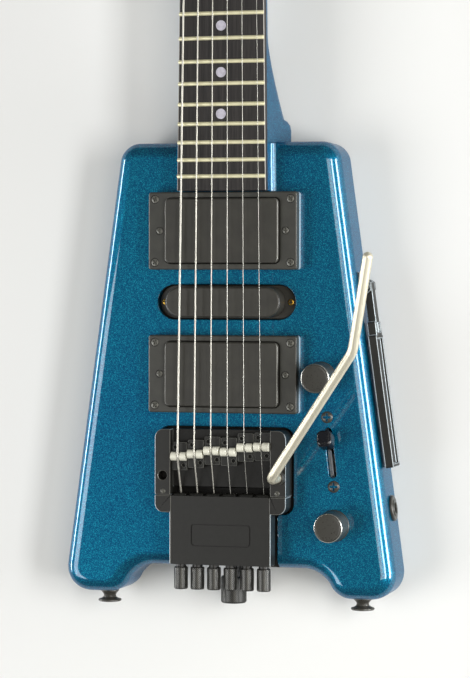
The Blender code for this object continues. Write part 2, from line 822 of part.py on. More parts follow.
def nut_string_cuts(low_y, high_y, top):
    """Slots for the six strings, open at the top."""
    cuts = []
    for index, diameter in enumerate(STRING_DIAMETERS):
        x = string_x(index, NUT_PITCH)
        half = diameter / 2 + SEAT_GAP
        low = (x - half, low_y, FACE + STRING_NUT_H - half)
        cuts.append(box(low, (x + half, high_y, top)))
    return cuts


def build_nut(bone):
    low_y = SCALE_LENGTH
    high_y = SCALE_LENGTH + NUT_THICKNESS
    half = board_half(SCALE_LENGTH)
    top = FACE + NUT_TOP_H
    nut = box((-half, low_y, NECK_TOP + SEAT_GAP), (half, high_y, top))
    soften_level(nut, NUT_EDGE, 2, top)
    cut(nut, nut_string_cuts(low_y - CUT_MARGIN, high_y + CUT_MARGIN, top + CUT_MARGIN))
    finish(nut, "nut", bone)


def build_headpiece(dark_metal):
    """Block on the neck's end that takes the plain ends of the strings."""
    front = SCALE_LENGTH + NUT_THICKNESS + SEAT_GAP
    rear = front + HEAD_LENGTH
    low = FACE + HEAD_BOTTOM_H
    high = FACE + HEAD_TOP_H
    profile = rounded_outline([
        (front, low, HEAD_EDGE),
        (rear, low, HEAD_RADIUS),
        (rear, high - HEAD_SLOPE_DROP, HEAD_RADIUS),
        (rear - HEAD_SLOPE_LENGTH, high, HEAD_RADIUS),
        (front, high, HEAD_EDGE),
    ], 4)
    head = prism(profile, 0, 2 * HEAD_HALF, across(-HEAD_HALF))
    soften(head, HEAD_EDGE, 2, lambda a, b: abs(a.x - b.x) < 1e-6 and abs(a.x) > HEAD_HALF - 1e-6)
    gap = SEAT_GAP
    neck_end = SCALE_LENGTH + NUT_THICKNESS
    pocket = box((-TONGUE_HALF - gap, neck_end - CUT_MARGIN, FACE + TONGUE_BOTTOM_H - gap),
                 (TONGUE_HALF + gap, neck_end + TONGUE_LENGTH + gap, FACE + TONGUE_TOP_H + gap))
    slots = nut_string_cuts(front - CUT_MARGIN, front + HEAD_SLOT_LENGTH, high + CUT_MARGIN)
    cut(head, [pocket] + slots)
    finish(head, "headpiece", dark_metal)


def build_truss_rod(steel):
    height = NECK_TOP - ROD_CHANNEL_DEPTH + SEAT_GAP + ROD_DIAMETER / 2
    bar = rod((0, ROD_START_Y, height), (0, ROD_END_Y, height), ROD_DIAMETER / 2)
    finish(bar, "truss_rod", steel)


def build_strings(steel):
    """Each string runs from the headpiece over nut and roller down to its jaw."""
    for index, diameter in enumerate(STRING_DIAMETERS):
        radius = diameter / 2
        nut_x = string_x(index, NUT_PITCH)
        bridge_x = string_x(index, BRIDGE_PITCH)
        top = FACE + STRING_SADDLE_H
        saddle_y = SADDLE_PLACES[index]
        head_y = SCALE_LENGTH + NUT_THICKNESS + HEAD_SLOT_LENGTH - STRING_END_ROOM
        jaw_y = JAW_NOSE_Y + SEAT_GAP + radius
        jaw = Vector((bridge_x, jaw_y, FACE + TUNER_AXIS_H))
        nut_h = FACE + STRING_NUT_H
        bend = ROLLER_GROOVE_RADIUS + radius + STRING_LIFT
        axle = Vector((bridge_x, saddle_y, top - bend))
        away = jaw - axle
        reach = math.sqrt(away.length ** 2 - bend ** 2)
        last = math.atan2(away.z, away.y) - math.atan2(reach, bend)
        points = [(nut_x, head_y, nut_h), (nut_x, SCALE_LENGTH, nut_h)]
        for step in range(4):
            angle = math.pi / 2 + ((last % (2 * math.pi)) - math.pi / 2) * step / 3
            touch = Vector((0, math.cos(angle), math.sin(angle))) * bend
            points.append(axle + touch)
        points.append(jaw)
        name = f"string_{string_number(index)}"
        finish(wire(name, points, radius, 1), name, steel)


def build_pickup_set(label, y, plastic, moulding):
    """Full size pickup with a plain cover, and the ring that it hangs in."""
    ring_half = RING_WIDTH / 2
    ring = prism(rectangle(RING_LENGTH / 2, y - ring_half, y + ring_half, RING_RADIUS),
                 FACE + SEAT_GAP, FACE + RING_TOP_H)
    soften_level(ring, RING_EDGE, 2, FACE + RING_TOP_H)
    window_half = COVER_WIDTH / 2 + COVER_GAP
    window = rectangle(COVER_LENGTH / 2 + COVER_GAP, y - window_half, y + window_half,
                       COVER_RADIUS + COVER_GAP)
    cut(ring, [prism(window, FACE - CUT_MARGIN, FACE + CUT_MARGIN)])
    finish(ring, f"{label}_pickup_ring", moulding)

    cover_half = COVER_WIDTH / 2
    cover = prism(rectangle(COVER_LENGTH / 2, y - cover_half, y + cover_half, COVER_RADIUS),
                  FACE + PICKUP_BOTTOM_H, FACE + COVER_TOP_H)
    soften_level(cover, COVER_EDGE, 2, FACE + COVER_TOP_H)
    tab_half = PICKUP_TAB_WIDTH / 2
    tab_low = FACE + PICKUP_BOTTOM_H + PICKUP_TAB_RISE
    tab = prism(rectangle(PICKUP_TAB_LENGTH / 2, y - tab_half, y + tab_half, COVER_RADIUS),
                tab_low, tab_low + PICKUP_TAB_THICKNESS)
    join(cover, [tab])
    finish(cover, f"{label}_pickup", plastic)


def build_middle_pickup(plastic):
    """Slim oval pickup screwed straight to the floor of its rout."""
    place = Matrix.Translation((0, MIDDLE_PICKUP_Y, 0))
    cover = prism(stadium(OVAL_COVER_LENGTH, OVAL_COVER_WIDTH, 8),
                  FACE + PICKUP_BOTTOM_H, FACE + OVAL_COVER_TOP_H, place)
    soften_level(cover, COVER_EDGE, 2, FACE + OVAL_COVER_TOP_H)
    tab = prism(stadium(OVAL_ROUT_LENGTH - 2 * OVAL_TAB_GAP, OVAL_ROUT_WIDTH - 2 * OVAL_TAB_GAP, 8),
                FACE + PICKUP_BOTTOM_H + PICKUP_TAB_RISE, FACE + OVAL_TAB_TOP_H, place)
    join(cover, [tab])
    finish(cover, "middle_pickup", plastic)


def pivot_hole(reach, radius):
    height = FACE + PIVOT_H
    return rod((-reach, PIVOT_Y, height), (reach, PIVOT_Y, height), radius, 16)


def build_tremolo_base(steel):
    """Plate on the floor of the rout, with two ears that hold the pivot shaft."""
    low = FACE - ROUT_DEPTH + SEAT_GAP
    high = low + BASE_THICKNESS
    plate = prism(rectangle(BASE_HALF, BASE_REAR_Y, BASE_FRONT_Y, BASE_RADIUS), low, high)
    window = rectangle(CAVITY_HALF, BASE_WINDOW_REAR_Y, BASE_WINDOW_FRONT_Y, BASE_WINDOW_RADIUS)
    cut(plate, [prism(window, low - CUT_MARGIN, high + CUT_MARGIN)])
    pivot_z = FACE + PIVOT_H
    ear = rounded_outline([
        (PIVOT_Y - EAR_HALF, high - JOIN_OVERLAP, 0),
        (PIVOT_Y + EAR_HALF, high - JOIN_OVERLAP, 0),
        (PIVOT_Y + EAR_HALF, pivot_z + EAR_HALF, EAR_HALF - 1e-5),
        (PIVOT_Y - EAR_HALF, pivot_z + EAR_HALF, EAR_HALF - 1e-5),
    ], 4)
    ears = []
    for side in (-1, 1):
        start = side * CHEEK_X - EAR_THICKNESS / 2
        ears.append(prism(ear, 0, EAR_THICKNESS, across(start)))
    join(plate, ears)
    cut(plate, [pivot_hole(BASE_HALF + CUT_MARGIN, PIVOT_RADIUS + SEAT_GAP)])
    finish(plate, "tremolo_base", steel)
    reach = FRAME_HALF - SHAFT_END_WALL - SEAT_GAP
    shaft = pivot_hole(reach, PIVOT_RADIUS)
    finish(shaft, "pivot_shaft", steel)


def build_bridge_frame(casting, pivot):
    """Carriage casting: two cheeks, a lowered bed for the saddles and a front wall."""
    corners = mirrored([
        (FRAME_HALF, FRAME_REAR_Y, 0),
        (FRAME_HALF, FRAME_FRONT_Y, FRAME_RADIUS),
    ])
    low = FACE + FRAME_BOTTOM_H
    high = FACE + FRAME_TOP_H
    frame = prism(rounded_outline(corners, 5), low, high)
    soften_level(frame, FRAME_EDGE, 2, high)
    inner = BED_HALF
    bed_top = FACE + BED_TOP_H
    behind = FRAME_REAR_Y - CUT_MARGIN
    above = high + CUT_MARGIN
    below = low - CUT_MARGIN
    over_bed = box((-inner, behind, bed_top), (inner, FRAME_FRONT_Y + CUT_MARGIN, above))
    under_bed = box((-inner, behind, below),
                    (inner, FRAME_FRONT_Y - FRONT_WALL, bed_top - BED_THICKNESS))
    behind_bed = box((-inner, behind, below), (inner, BED_REAR_Y, above))
    for space in (over_bed, under_bed, behind_bed):
        cut(frame, [space])
    slots = []
    for side in (-1, 1):
        half = EAR_THICKNESS / 2 + EAR_SIDE_GAP
        reach = EAR_HALF + EAR_SWING_GAP
        slots.append(box((side * CHEEK_X - half, PIVOT_Y - reach, below),
                         (side * CHEEK_X + half, PIVOT_Y + reach, FACE + PIVOT_H + reach)))
    cut(frame, slots)
    cut(frame, [pivot_hole(FRAME_HALF - SHAFT_END_WALL, PIVOT_RADIUS + SLIDE_GAP)])
    sockets = []
    for x, radius in ((CHEEK_X, COLLAR_SLEEVE_RADIUS + SEAT_GAP), (-CHEEK_X, SPARE_SOCKET_RADIUS)):
        sockets.append(rod((x, ARM_Y, below), (x, ARM_Y, above), radius, 16))
    cut(frame, sockets)
    finish(frame, "bridge_frame", casting, pivot.location, pivot)


def tuner_hole(index):
    x = string_x(index, BRIDGE_PITCH)
    height = FACE + TUNER_AXIS_H
    start = (x, TAIL_REAR_Y - CUT_MARGIN, height)
    end = (x, TAIL_REAR_Y + TAIL_REAR_WALL + JOIN_OVERLAP, height)
    return rod(start, end, TUNER_SCREW_RADIUS + SLIDE_GAP)


def build_tail(casting, pivot):
    """Tail block with a channel for each jaw and a lobe behind each cheek, and its cover."""
    front = FRAME_REAR_Y - SEAT_GAP
    low = FACE + TAIL_BOTTOM_H
    high = FACE + FRAME_TOP_H
    block = prism(rectangle(TAIL_HALF, TAIL_REAR_Y, front, TAIL_EDGE, 1), low, high)
    lobes = []
    for side in (-1, 1):
        inner = side * (TAIL_HALF - JOIN_OVERLAP)
        outer = side * FRAME_HALF
        lobe = rounded_outline([
            (inner, front, 0),
            (inner, front - LOBE_LENGTH, 0),
            (outer, front - LOBE_LENGTH, FRAME_RADIUS),
            (outer, front, 0),
        ], 5)
        lobes.append(prism(lobe, FACE + LOBE_BOTTOM_H, high))
    join(block, lobes)
    cover_low = high - TAIL_COVER_THICKNESS - SEAT_GAP
    cover_half = TAIL_HALF - TAIL_RIM
    behind = TAIL_REAR_Y - CUT_MARGIN
    ahead = front + CUT_MARGIN
    above = high + CUT_MARGIN
    cut(block, [box((-cover_half, behind, cover_low), (cover_half, ahead, above))])
    channels = []
    for index in range(STRING_COUNT):
        x = string_x(index, BRIDGE_PITCH)
        half = JAW_WIDTH / 2 + SLIDE_GAP
        channels.append(box((x - half, TAIL_REAR_Y + TAIL_REAR_WALL, low + TAIL_FLOOR),
                            (x + half, ahead, above)))
    cut(block, channels)
    cut(block, [tuner_hole(index) for index in range(STRING_COUNT)])
    finish(block, "tail_block", casting, pivot.location, pivot)

    cover = box((-cover_half + SEAT_GAP / 2, TAIL_REAR_Y, high - TAIL_COVER_THICKNESS),
                (cover_half - SEAT_GAP / 2, front, high))
    soften_level(cover, TAIL_COVER_EDGE, 1, high)
    finish(cover, "tail_cover", casting, pivot.location, pivot)


def build_saddles(casting, pivot):
    """Six blocks on the bed, each with a grooved roller lying across it."""
    for index, diameter in enumerate(STRING_DIAMETERS):
        x = string_x(index, BRIDGE_PITCH)
        y = SADDLE_PLACES[index]
        half = SADDLE_WIDTH / 2
        low = FACE + BED_TOP_H + SEAT_GAP
        high = FACE + SADDLE_TOP_H
        block = box((x - half, y - SADDLE_LENGTH / 2, low), (x + half, y + SADDLE_LENGTH / 2, high))
        soften_level(block, SADDLE_EDGE, 1, high)
        axle_z = FACE + STRING_SADDLE_H - ROLLER_GROOVE_RADIUS - diameter / 2 - STRING_LIFT
        end = ROLLER_LENGTH / 2
        rim = ROLLER_RADIUS - ROLLER_EDGE
        groove = ROLLER_GROOVE_RADIUS - STRING_LIFT
        wide = ROLLER_GROOVE_HALF
        profile = [(0, -end), (rim, -end), (ROLLER_RADIUS, -end + ROLLER_EDGE),
                   (ROLLER_RADIUS, -wide), (groove, -wide / 2), (groove, wide / 2),
                   (ROLLER_RADIUS, wide), (ROLLER_RADIUS, end - ROLLER_EDGE), (rim, end), (0, end)]
        roller = turned(profile, along((x, y, axle_z), (1, 0, 0)), 16)
        join(block, [roller])
        origin = (x, y, low)
        finish(block, f"saddle_{string_number(index)}", casting, origin, pivot)


def build_jaws_and_tuners(steel, casting, pivot):
    """Jaws that hold the string ends, each pulled by a knurled thumbscrew."""
    for index in range(STRING_COUNT):
        x = string_x(index, BRIDGE_PITCH)
        height = FACE + TUNER_AXIS_H
        half = JAW_WIDTH / 2
        low = FACE + TAIL_BOTTOM_H + TAIL_FLOOR + SLIDE_GAP
        jaw = box((x - half, JAW_NOSE_Y - JAW_LENGTH, low), (x + half, JAW_NOSE_Y, low + JAW_HEIGHT))
        soften(jaw, JAW_NOSE_RADIUS, 3, lambda a, b: abs(a.y - JAW_NOSE_Y) < 1e-6
               and abs(a.y - b.y) < 1e-6 and abs(a.z - b.z) < 1e-6)
        rear = JAW_NOSE_Y - JAW_LENGTH
        bore = rod((x, rear - CUT_MARGIN, height), (x, rear + JAW_BORE_DEPTH, height),
                   TUNER_SCREW_RADIUS + SLIDE_GAP)
        cut(jaw, [bore])
        number = string_number(index)
        finish(jaw, f"jaw_{number}", steel, (x, JAW_NOSE_Y, height), pivot)

        collar = TAIL_REAR_Y - SEAT_GAP
        grip = collar - TUNER_COLLAR_LENGTH
        edge = TUNER_EDGE
        profile = [
            (0, TUNER_TIP_Y), (TUNER_SCREW_RADIUS, TUNER_TIP_Y), (TUNER_SCREW_RADIUS, collar),
            (TUNER_COLLAR_RADIUS, collar), (TUNER_COLLAR_RADIUS, grip),
            (TUNER_RADIUS - edge, grip), (TUNER_RADIUS, grip - edge),
            (TUNER_RADIUS, grip - TUNER_LENGTH + edge),
            (TUNER_RADIUS - edge, grip - TUNER_LENGTH), (0, grip - TUNER_LENGTH)]
        place = Matrix.Translation((x, 0, height)) @ Matrix.Rotation(-math.pi / 2, 4, "X")
        knob = turned(profile, place, SMALL_ROUND)
        finish(knob, f"tuner_{number}", casting, (x, collar, height), pivot)


def build_spring_lever(steel, pivot):
    """Lever bolted under the bed that the spring pushes towards the neck."""
    top = FACE + BED_TOP_H - BED_THICKNESS - SEAT_GAP
    rear = LEVER_FRONT_Y - LEVER_THICKNESS
    plate = box((-LEVER_HALF, rear, FACE + LEVER_BOTTOM_H), (LEVER_HALF, LEVER_FRONT_Y, top))
    flange = box((-LEVER_HALF, rear - LEVER_FLANGE_LENGTH, top - LEVER_FLANGE_THICKNESS),
                 (LEVER_HALF, LEVER_FRONT_Y - JOIN_OVERLAP, top))
    axis_z = FACE + SPRING_AXIS_H
    boss = rod((0, rear + JOIN_OVERLAP, axis_z), (0, rear - SPRING_BOSS_LENGTH, axis_z),
               SPRING_BOSS_RADIUS, 16)
    join(plate, [flange])
    join(plate, [boss])
    finish(plate, "spring_lever", steel, pivot.location, pivot)


def build_spring_adjuster(steel, casting):
    """Threaded rod with a thumb knob at the tail, and the seat nut that it drives."""
    axis_z = FACE + SPRING_AXIS_H
    hub = NOTCH_Y - SEAT_GAP
    grip = hub - SPRING_HUB_LENGTH
    end = grip - SPRING_KNOB_LENGTH
    edge = SPRING_KNOB_EDGE
    profile = [
        (0, SPRING_ROD_TIP_Y), (SPRING_ROD_RADIUS, SPRING_ROD_TIP_Y), (SPRING_ROD_RADIUS, hub),
        (SPRING_HUB_RADIUS, hub), (SPRING_HUB_RADIUS, grip),
        (SPRING_KNOB_RADIUS - edge, grip), (SPRING_KNOB_RADIUS, grip - edge),
        (SPRING_KNOB_RADIUS, end + edge), (SPRING_KNOB_RADIUS - edge, end), (0, end)]
    place = Matrix.Translation((0, 0, axis_z)) @ Matrix.Rotation(-math.pi / 2, 4, "X")
    knob = turned(profile, place, 20)
    finish(knob, "spring_knob", casting, (0, hub, axis_z))

    half = CAVITY_HALF - SLIDE_GAP
    seat = box((-half, SPRING_SEAT_Y - SPRING_SEAT_THICKNESS, CAVITY_FLOOR + SLIDE_GAP),
               (half, SPRING_SEAT_Y, FACE - ROUT_DEPTH - SPRING_SEAT_TOP_ROOM))
    boss = rod((0, SPRING_SEAT_Y - JOIN_OVERLAP, axis_z),
               (0, SPRING_SEAT_Y + SPRING_BOSS_LENGTH, axis_z), SPRING_BOSS_RADIUS, 16)
    join(seat, [boss])
    hole = rod((0, SPRING_SEAT_Y - CUT_MARGIN, axis_z), (0, SPRING_SEAT_Y + CUT_MARGIN, axis_z),
               SPRING_ROD_RADIUS + SLIDE_GAP, 16)
    cut(seat, [hole])
    finish(seat, "spring_seat", steel, (0, SPRING_SEAT_Y, axis_z))


def build_spring(steel):
    """Compression spring between the lever and the seat nut, its end turns closed up."""
    per_turn = 10
    wire_radius = SPRING_WIRE / 2
    coil_radius = SPRING_RADIUS - wire_radius
    start = LEVER_FRONT_Y - LEVER_THICKNESS - SEAT_GAP - wire_radius
    end = SPRING_SEAT_Y + SEAT_GAP + wire_radius
    closed = SPRING_WIRE * SPRING_END_PITCH
    open_length = start - end - 2 * closed
    points = []
    for step in range(SPRING_TURNS * per_turn + 1):
        turns = step / per_turn
        if turns <= 1:
            travel = closed * turns
        elif turns >= SPRING_TURNS - 1:
            travel = closed + open_length + closed * (turns - SPRING_TURNS + 1)
        else:
            travel = closed + open_length * (turns - 1) / (SPRING_TURNS - 2)
        angle = 2 * math.pi * turns
        points.append(Vector((coil_radius * math.cos(angle), start - travel,
                              FACE + SPRING_AXIS_H + coil_radius * math.sin(angle))))
    least = min((points[a] - points[b]).length
                for a in range(len(points)) for b in range(a + per_turn // 2, len(points)))
    print(f"tremolo spring: least gap between turns {1000 * (least - SPRING_WIRE):.2f} mm")
    finish(wire("tremolo_spring", points, wire_radius, 1), "tremolo_spring", steel)


def rounded_path(points, radii, steps):
    """Path through 3-D points whose inner corners are rounded off by arcs."""
    path = [Vector(points[0])]
    for index in range(1, len(points) - 1):
        here = Vector(points[index])
        back = (Vector(points[index - 1]) - here).normalized()
        ahead = (Vector(points[index + 1]) - here).normalized()
        opening = back.angle(ahead)
        radius = radii[index - 1]
        reach = radius / math.tan(opening / 2)
        middle = here + (back + ahead).normalized() * (radius / math.sin(opening / 2))
        first = here + back * reach - middle
        last = here + ahead * reach - middle
        spin = first.cross(last).normalized()
        turn = first.angle(last)
        for step in range(steps + 1):
            path.append(middle + Matrix.Rotation(turn * step / steps, 3, spin) @ first)
    path.append(Vector(points[-1]))
    return path


def build_arm(bright_steel, black_plastic, pivot):
    """Bent arm that turns in a collar on the treble cheek."""
    top = FACE + FRAME_TOP_H
    collar_low = FACE + FRAME_BOTTOM_H + SEAT_GAP
    bore = ARM_RADIUS + SLIDE_GAP
    profile = [
        (bore, collar_low), (COLLAR_SLEEVE_RADIUS, collar_low), (COLLAR_SLEEVE_RADIUS, top + SEAT_GAP),
        (COLLAR_RADIUS, top + SEAT_GAP), (COLLAR_RADIUS, top + COLLAR_HEIGHT - COLLAR_EDGE),
        (COLLAR_RADIUS - COLLAR_EDGE, top + COLLAR_HEIGHT), (bore, top + COLLAR_HEIGHT),
        (bore, collar_low)]
    collar = turned(profile, Matrix.Translation((CHEEK_X, ARM_Y, 0)), 16)
    finish(collar, "arm_collar", black_plastic, pivot.location, pivot)

    foot = (CHEEK_X, ARM_Y, FACE + ARM_FOOT_H)
    low_bend = (CHEEK_X, ARM_Y, FACE + ARM_LOW_BEND_H)
    elbow = (ARM_ELBOW[0], ARM_ELBOW[1], FACE + ARM_ELBOW[2])
    tip = Vector((ARM_TIP[0], ARM_TIP[1], FACE + ARM_TIP[2]))
    inward = (tip - Vector(elbow)).normalized() * ARM_RADIUS
    path = rounded_path([foot, low_bend, elbow, tip - inward],
                        (ARM_LOW_BEND_RADIUS, ARM_ELBOW_RADIUS), 5)
    rings = []
    flat = Vector((1, 0, 0))
    for index, point in enumerate(path):
        before = path[max(index - 1, 0)]
        after = path[min(index + 1, len(path) - 1)]
        heading = (after - before).normalized()
        flat = (flat - heading * flat.dot(heading)).normalized()
        upright = heading.cross(flat)
        ring = []
        for step in range(SMALL_ROUND):
            angle = 2 * math.pi * step / SMALL_ROUND
            ring.append(point + (flat * math.cos(angle) + upright * math.sin(angle)) * ARM_RADIUS)
        rings.append(ring)
    last_ring = rings[-1]
    centre = path[-1]
    for reach, share in ARM_TIP_ROUNDS:
        rings.append([centre + inward * reach + (point - centre) * share for point in last_ring])
    finish(loft(rings), "tremolo_arm", bright_steel, foot, pivot)


def build_pot_and_knob(label, at, steel, black_metal):
    """Potentiometer under the face and the knob on its shaft."""
    place = Matrix.Translation((at[0], at[1], 0))
    ceiling = FACE - CONTROL_WALL - SEAT_GAP
    shaft_top = FACE + KNOB_BORE_DEPTH - SEAT_GAP
    neck = FACE + POT_BUSH_TOP_H
    profile = [
        (0, ceiling - POT_HEIGHT), (POT_RADIUS, ceiling - POT_HEIGHT), (POT_RADIUS, ceiling),
        (POT_BUSH_RADIUS, ceiling), (POT_BUSH_RADIUS, neck), (POT_SHAFT_RADIUS, neck),
        (POT_SHAFT_RADIUS, shaft_top), (0, shaft_top)]
    finish(turned(profile, place, 16), f"{label}_pot", steel)

    low = FACE + KNOB_LOW_H
    high = FACE + KNOB_TOP_H
    bore = POT_SHAFT_RADIUS + SLIDE_GAP
    profile = [
        (0, FACE + KNOB_BORE_DEPTH), (bore, FACE + KNOB_BORE_DEPTH), (bore, low),
        (KNOB_BASE_RADIUS, low), (KNOB_BASE_RADIUS, low + KNOB_SKIRT),
        (KNOB_TOP_RADIUS, high - KNOB_EDGE), (KNOB_TOP_RADIUS - KNOB_EDGE / 3, high - KNOB_EDGE / 3),
        (KNOB_TOP_RADIUS - KNOB_EDGE, high), (0, high)]
    finish(turned(profile, place, ROUND), f"{label}_knob", black_metal, (at[0], at[1], low))


def build_switch(steel, black_plastic):
    """Blade switch under the face, and its lever that sticks out of the slot."""
    frame = switch_frame()
    ceiling = FACE - CONTROL_WALL - SEAT_GAP
    pivot_z = FACE + SWITCH_PIVOT_H
    half = SWITCH_WIDTH / 2
    case = prism(rectangle(half, -SWITCH_LENGTH / 2, SWITCH_LENGTH / 2, SWITCH_EDGE, 1),
                 ceiling - SWITCH_DEPTH, ceiling, frame)
    pocket_half = BLADE_THICKNESS / 2 + SLIDE_GAP
    pocket = prism(rectangle(pocket_half, -SLOT_LENGTH / 2, SLOT_LENGTH / 2, 0),
                   pivot_z - BLADE_WIDTH / 2 - SLIDE_GAP, ceiling + CUT_MARGIN, frame)
    cut(case, [pocket])
    finish(case, "selector_switch", steel)

    blade_half = BLADE_WIDTH / 2
    foot = blade_half - GLUE_LINE
    top = LEVER_TIP_RISE + JOIN_OVERLAP
    side = rounded_outline([(-blade_half, -blade_half, foot), (blade_half, -blade_half, foot),
                            (blade_half, top, 0), (-blade_half, top, 0)], 4)
    blade = prism(side, 0, BLADE_THICKNESS, across(-BLADE_THICKNESS / 2))
    tip = prism(rectangle(LEVER_TIP_WIDTH / 2, -LEVER_TIP_LENGTH / 2, LEVER_TIP_LENGTH / 2,
                          LEVER_TIP_RADIUS), LEVER_TIP_RISE, LEVER_TIP_RISE + LEVER_TIP_HEIGHT)
    soften_level(tip, LEVER_TIP_EDGE, 2, LEVER_TIP_RISE + LEVER_TIP_HEIGHT)
    join(blade, [tip])
    origin = frame @ Vector((0, 0, pivot_z))
    lean = Matrix.Translation(origin) @ Matrix.Rotation(SWITCH_TILT, 4, "Z")
    blade.data.transform(lean @ Matrix.Rotation(-LEVER_TILT, 4, "X"))
    finish(blade, "selector_lever", black_plastic, origin)


def build_control_cover(black_plastic):
    outline = control_outline(CONTROL_RADIUS + CONTROL_LIP - SEAT_GAP)
    low = CONTROL_RECESS - SEAT_GAP - CONTROL_COVER_THICKNESS
    cover = prism(outline, low, low + CONTROL_COVER_THICKNESS)
    finish(cover, "control_cover", black_plastic)


def build_jack(steel):
    """Jack socket in the treble side, with an open bore."""
    start = SEAT_GAP
    face = start + JACK_FLANGE_THICKNESS
    floor = face - JACK_BORE_DEPTH
    profile = [
        (0, floor), (JACK_BORE_RADIUS, floor), (JACK_BORE_RADIUS, face),
        (JACK_FLANGE_RADIUS - JACK_FLANGE_EDGE, face),
        (JACK_FLANGE_RADIUS, face - JACK_FLANGE_EDGE),
        (JACK_FLANGE_RADIUS, start), (JACK_BARREL_RADIUS, start),
        (JACK_BARREL_RADIUS, -JACK_BARREL_LENGTH), (0, -JACK_BARREL_LENGTH)]
    place = treble_side(JACK_Y, JACK_H) @ Matrix.Rotation(math.pi / 2, 4, "Y")
    finish(turned(profile, place, ROUND), "jack_socket", steel)


def build_strap_buttons(steel):
    top = BUTTON_LENGTH
    for label, side in (("bass", -1), ("treble", 1)):
        head = top - BUTTON_HEAD_THICKNESS
        profile = [
            (0, SEAT_GAP), (BUTTON_FOOT_RADIUS, SEAT_GAP), (BUTTON_FOOT_RADIUS, BUTTON_FOOT_RIM),
            (BUTTON_WAIST_RADIUS, BUTTON_FOOT_HEIGHT), (BUTTON_WAIST_RADIUS, head - BUTTON_HEAD_FLARE),
            (BUTTON_HEAD_RADIUS, head), (BUTTON_HEAD_RADIUS, top - BUTTON_HEAD_EDGE),
            (BUTTON_HEAD_RADIUS - BUTTON_HEAD_EDGE, top), (0, top)]
        start = (side * BUTTON_X, HORN_END_Y, FACE + BUTTON_H)
        finish(turned(profile, along(start, (0, -1, 0)), 20), f"strap_button_{label}", steel)


def build_leg_rest(black_metal, steel):
    """Folding leg rest: bracket on the treble side, hinge pin and channelled bar."""
    axis_out = SEAT_GAP + REST_PLATE_THICKNESS + REST_PLATE_GAP + REST_THICKNESS / 2
    place = treble_side(REST_HINGE_Y, REST_H, axis_out)
    half = REST_THICKNESS / 2
    tongue = REST_TONGUE_DEPTH / 2
    lug_start = tongue + SLIDE_GAP
    lug_end = lug_start + REST_LUG_THICKNESS
    plate_in = -axis_out + SEAT_GAP
    plate_out = plate_in + REST_PLATE_THICKNESS
    reach = REST_PLATE_LENGTH / 2

    bracket = box((plate_in, -reach, -lug_end), (plate_out, reach, lug_end))
    lugs = []
    for low, high in ((-lug_end, -lug_start), (lug_start, lug_end)):
        root = plate_in + REST_PLATE_THICKNESS / 2
        outline = rounded_outline([
            (root, -REST_LUG_LENGTH / 2, 0), (half, -half, REST_LUG_RADIUS),
            (half, half, REST_LUG_RADIUS), (root, REST_LUG_LENGTH / 2, 0)], 4)
        lugs.append(prism(outline, low, high))
    join(bracket, lugs)
    through = lug_end + CUT_MARGIN
    cut(bracket, [rod((0, 0, -through), (0, 0, through), REST_PIN_RADIUS + SEAT_GAP)])
    bracket.data.transform(place)
    finish(bracket, "leg_rest_bracket", black_metal)

    pin = rod((0, 0, -lug_end), (0, 0, lug_end), REST_PIN_RADIUS)
    pin.data.transform(place)
    finish(pin, "leg_rest_pin", steel)

    shoulder = REST_SHOULDER_DEPTH / 2
    deep = REST_DEPTH / 2
    lower = [(-REST_REACH, -deep), (-REST_SHOULDER, -deep), (-REST_SHOULDER, -shoulder),
             (-REST_TONGUE, -shoulder), (-REST_TONGUE, -tongue), (half, -tongue)]
    upper = [(y, -z) for y, z in reversed(lower)]
    bar = prism(lower + upper, 0, REST_THICKNESS, across(-half))
    soften(bar, REST_HINGE_ROUND, 4,
           lambda a, b: abs(a.y - half) < 1e-6 and abs(b.y - half) < 1e-6 and a.z * b.z < 0)
    wall = deep - REST_CHANNEL_WALL
    groove = box((half - REST_CHANNEL_DEPTH, -REST_REACH + REST_CHANNEL_END, -wall),
                 (half + CUT_MARGIN, -REST_SHOULDER - REST_CHANNEL_END, wall))
    hole = rod((0, 0, -through), (0, 0, through), REST_PIN_RADIUS + SLIDE_GAP)
    cut(bar, [groove, hole])
    bar.data.transform(place)
    finish(bar, "leg_rest_bar", black_metal, place.translation)


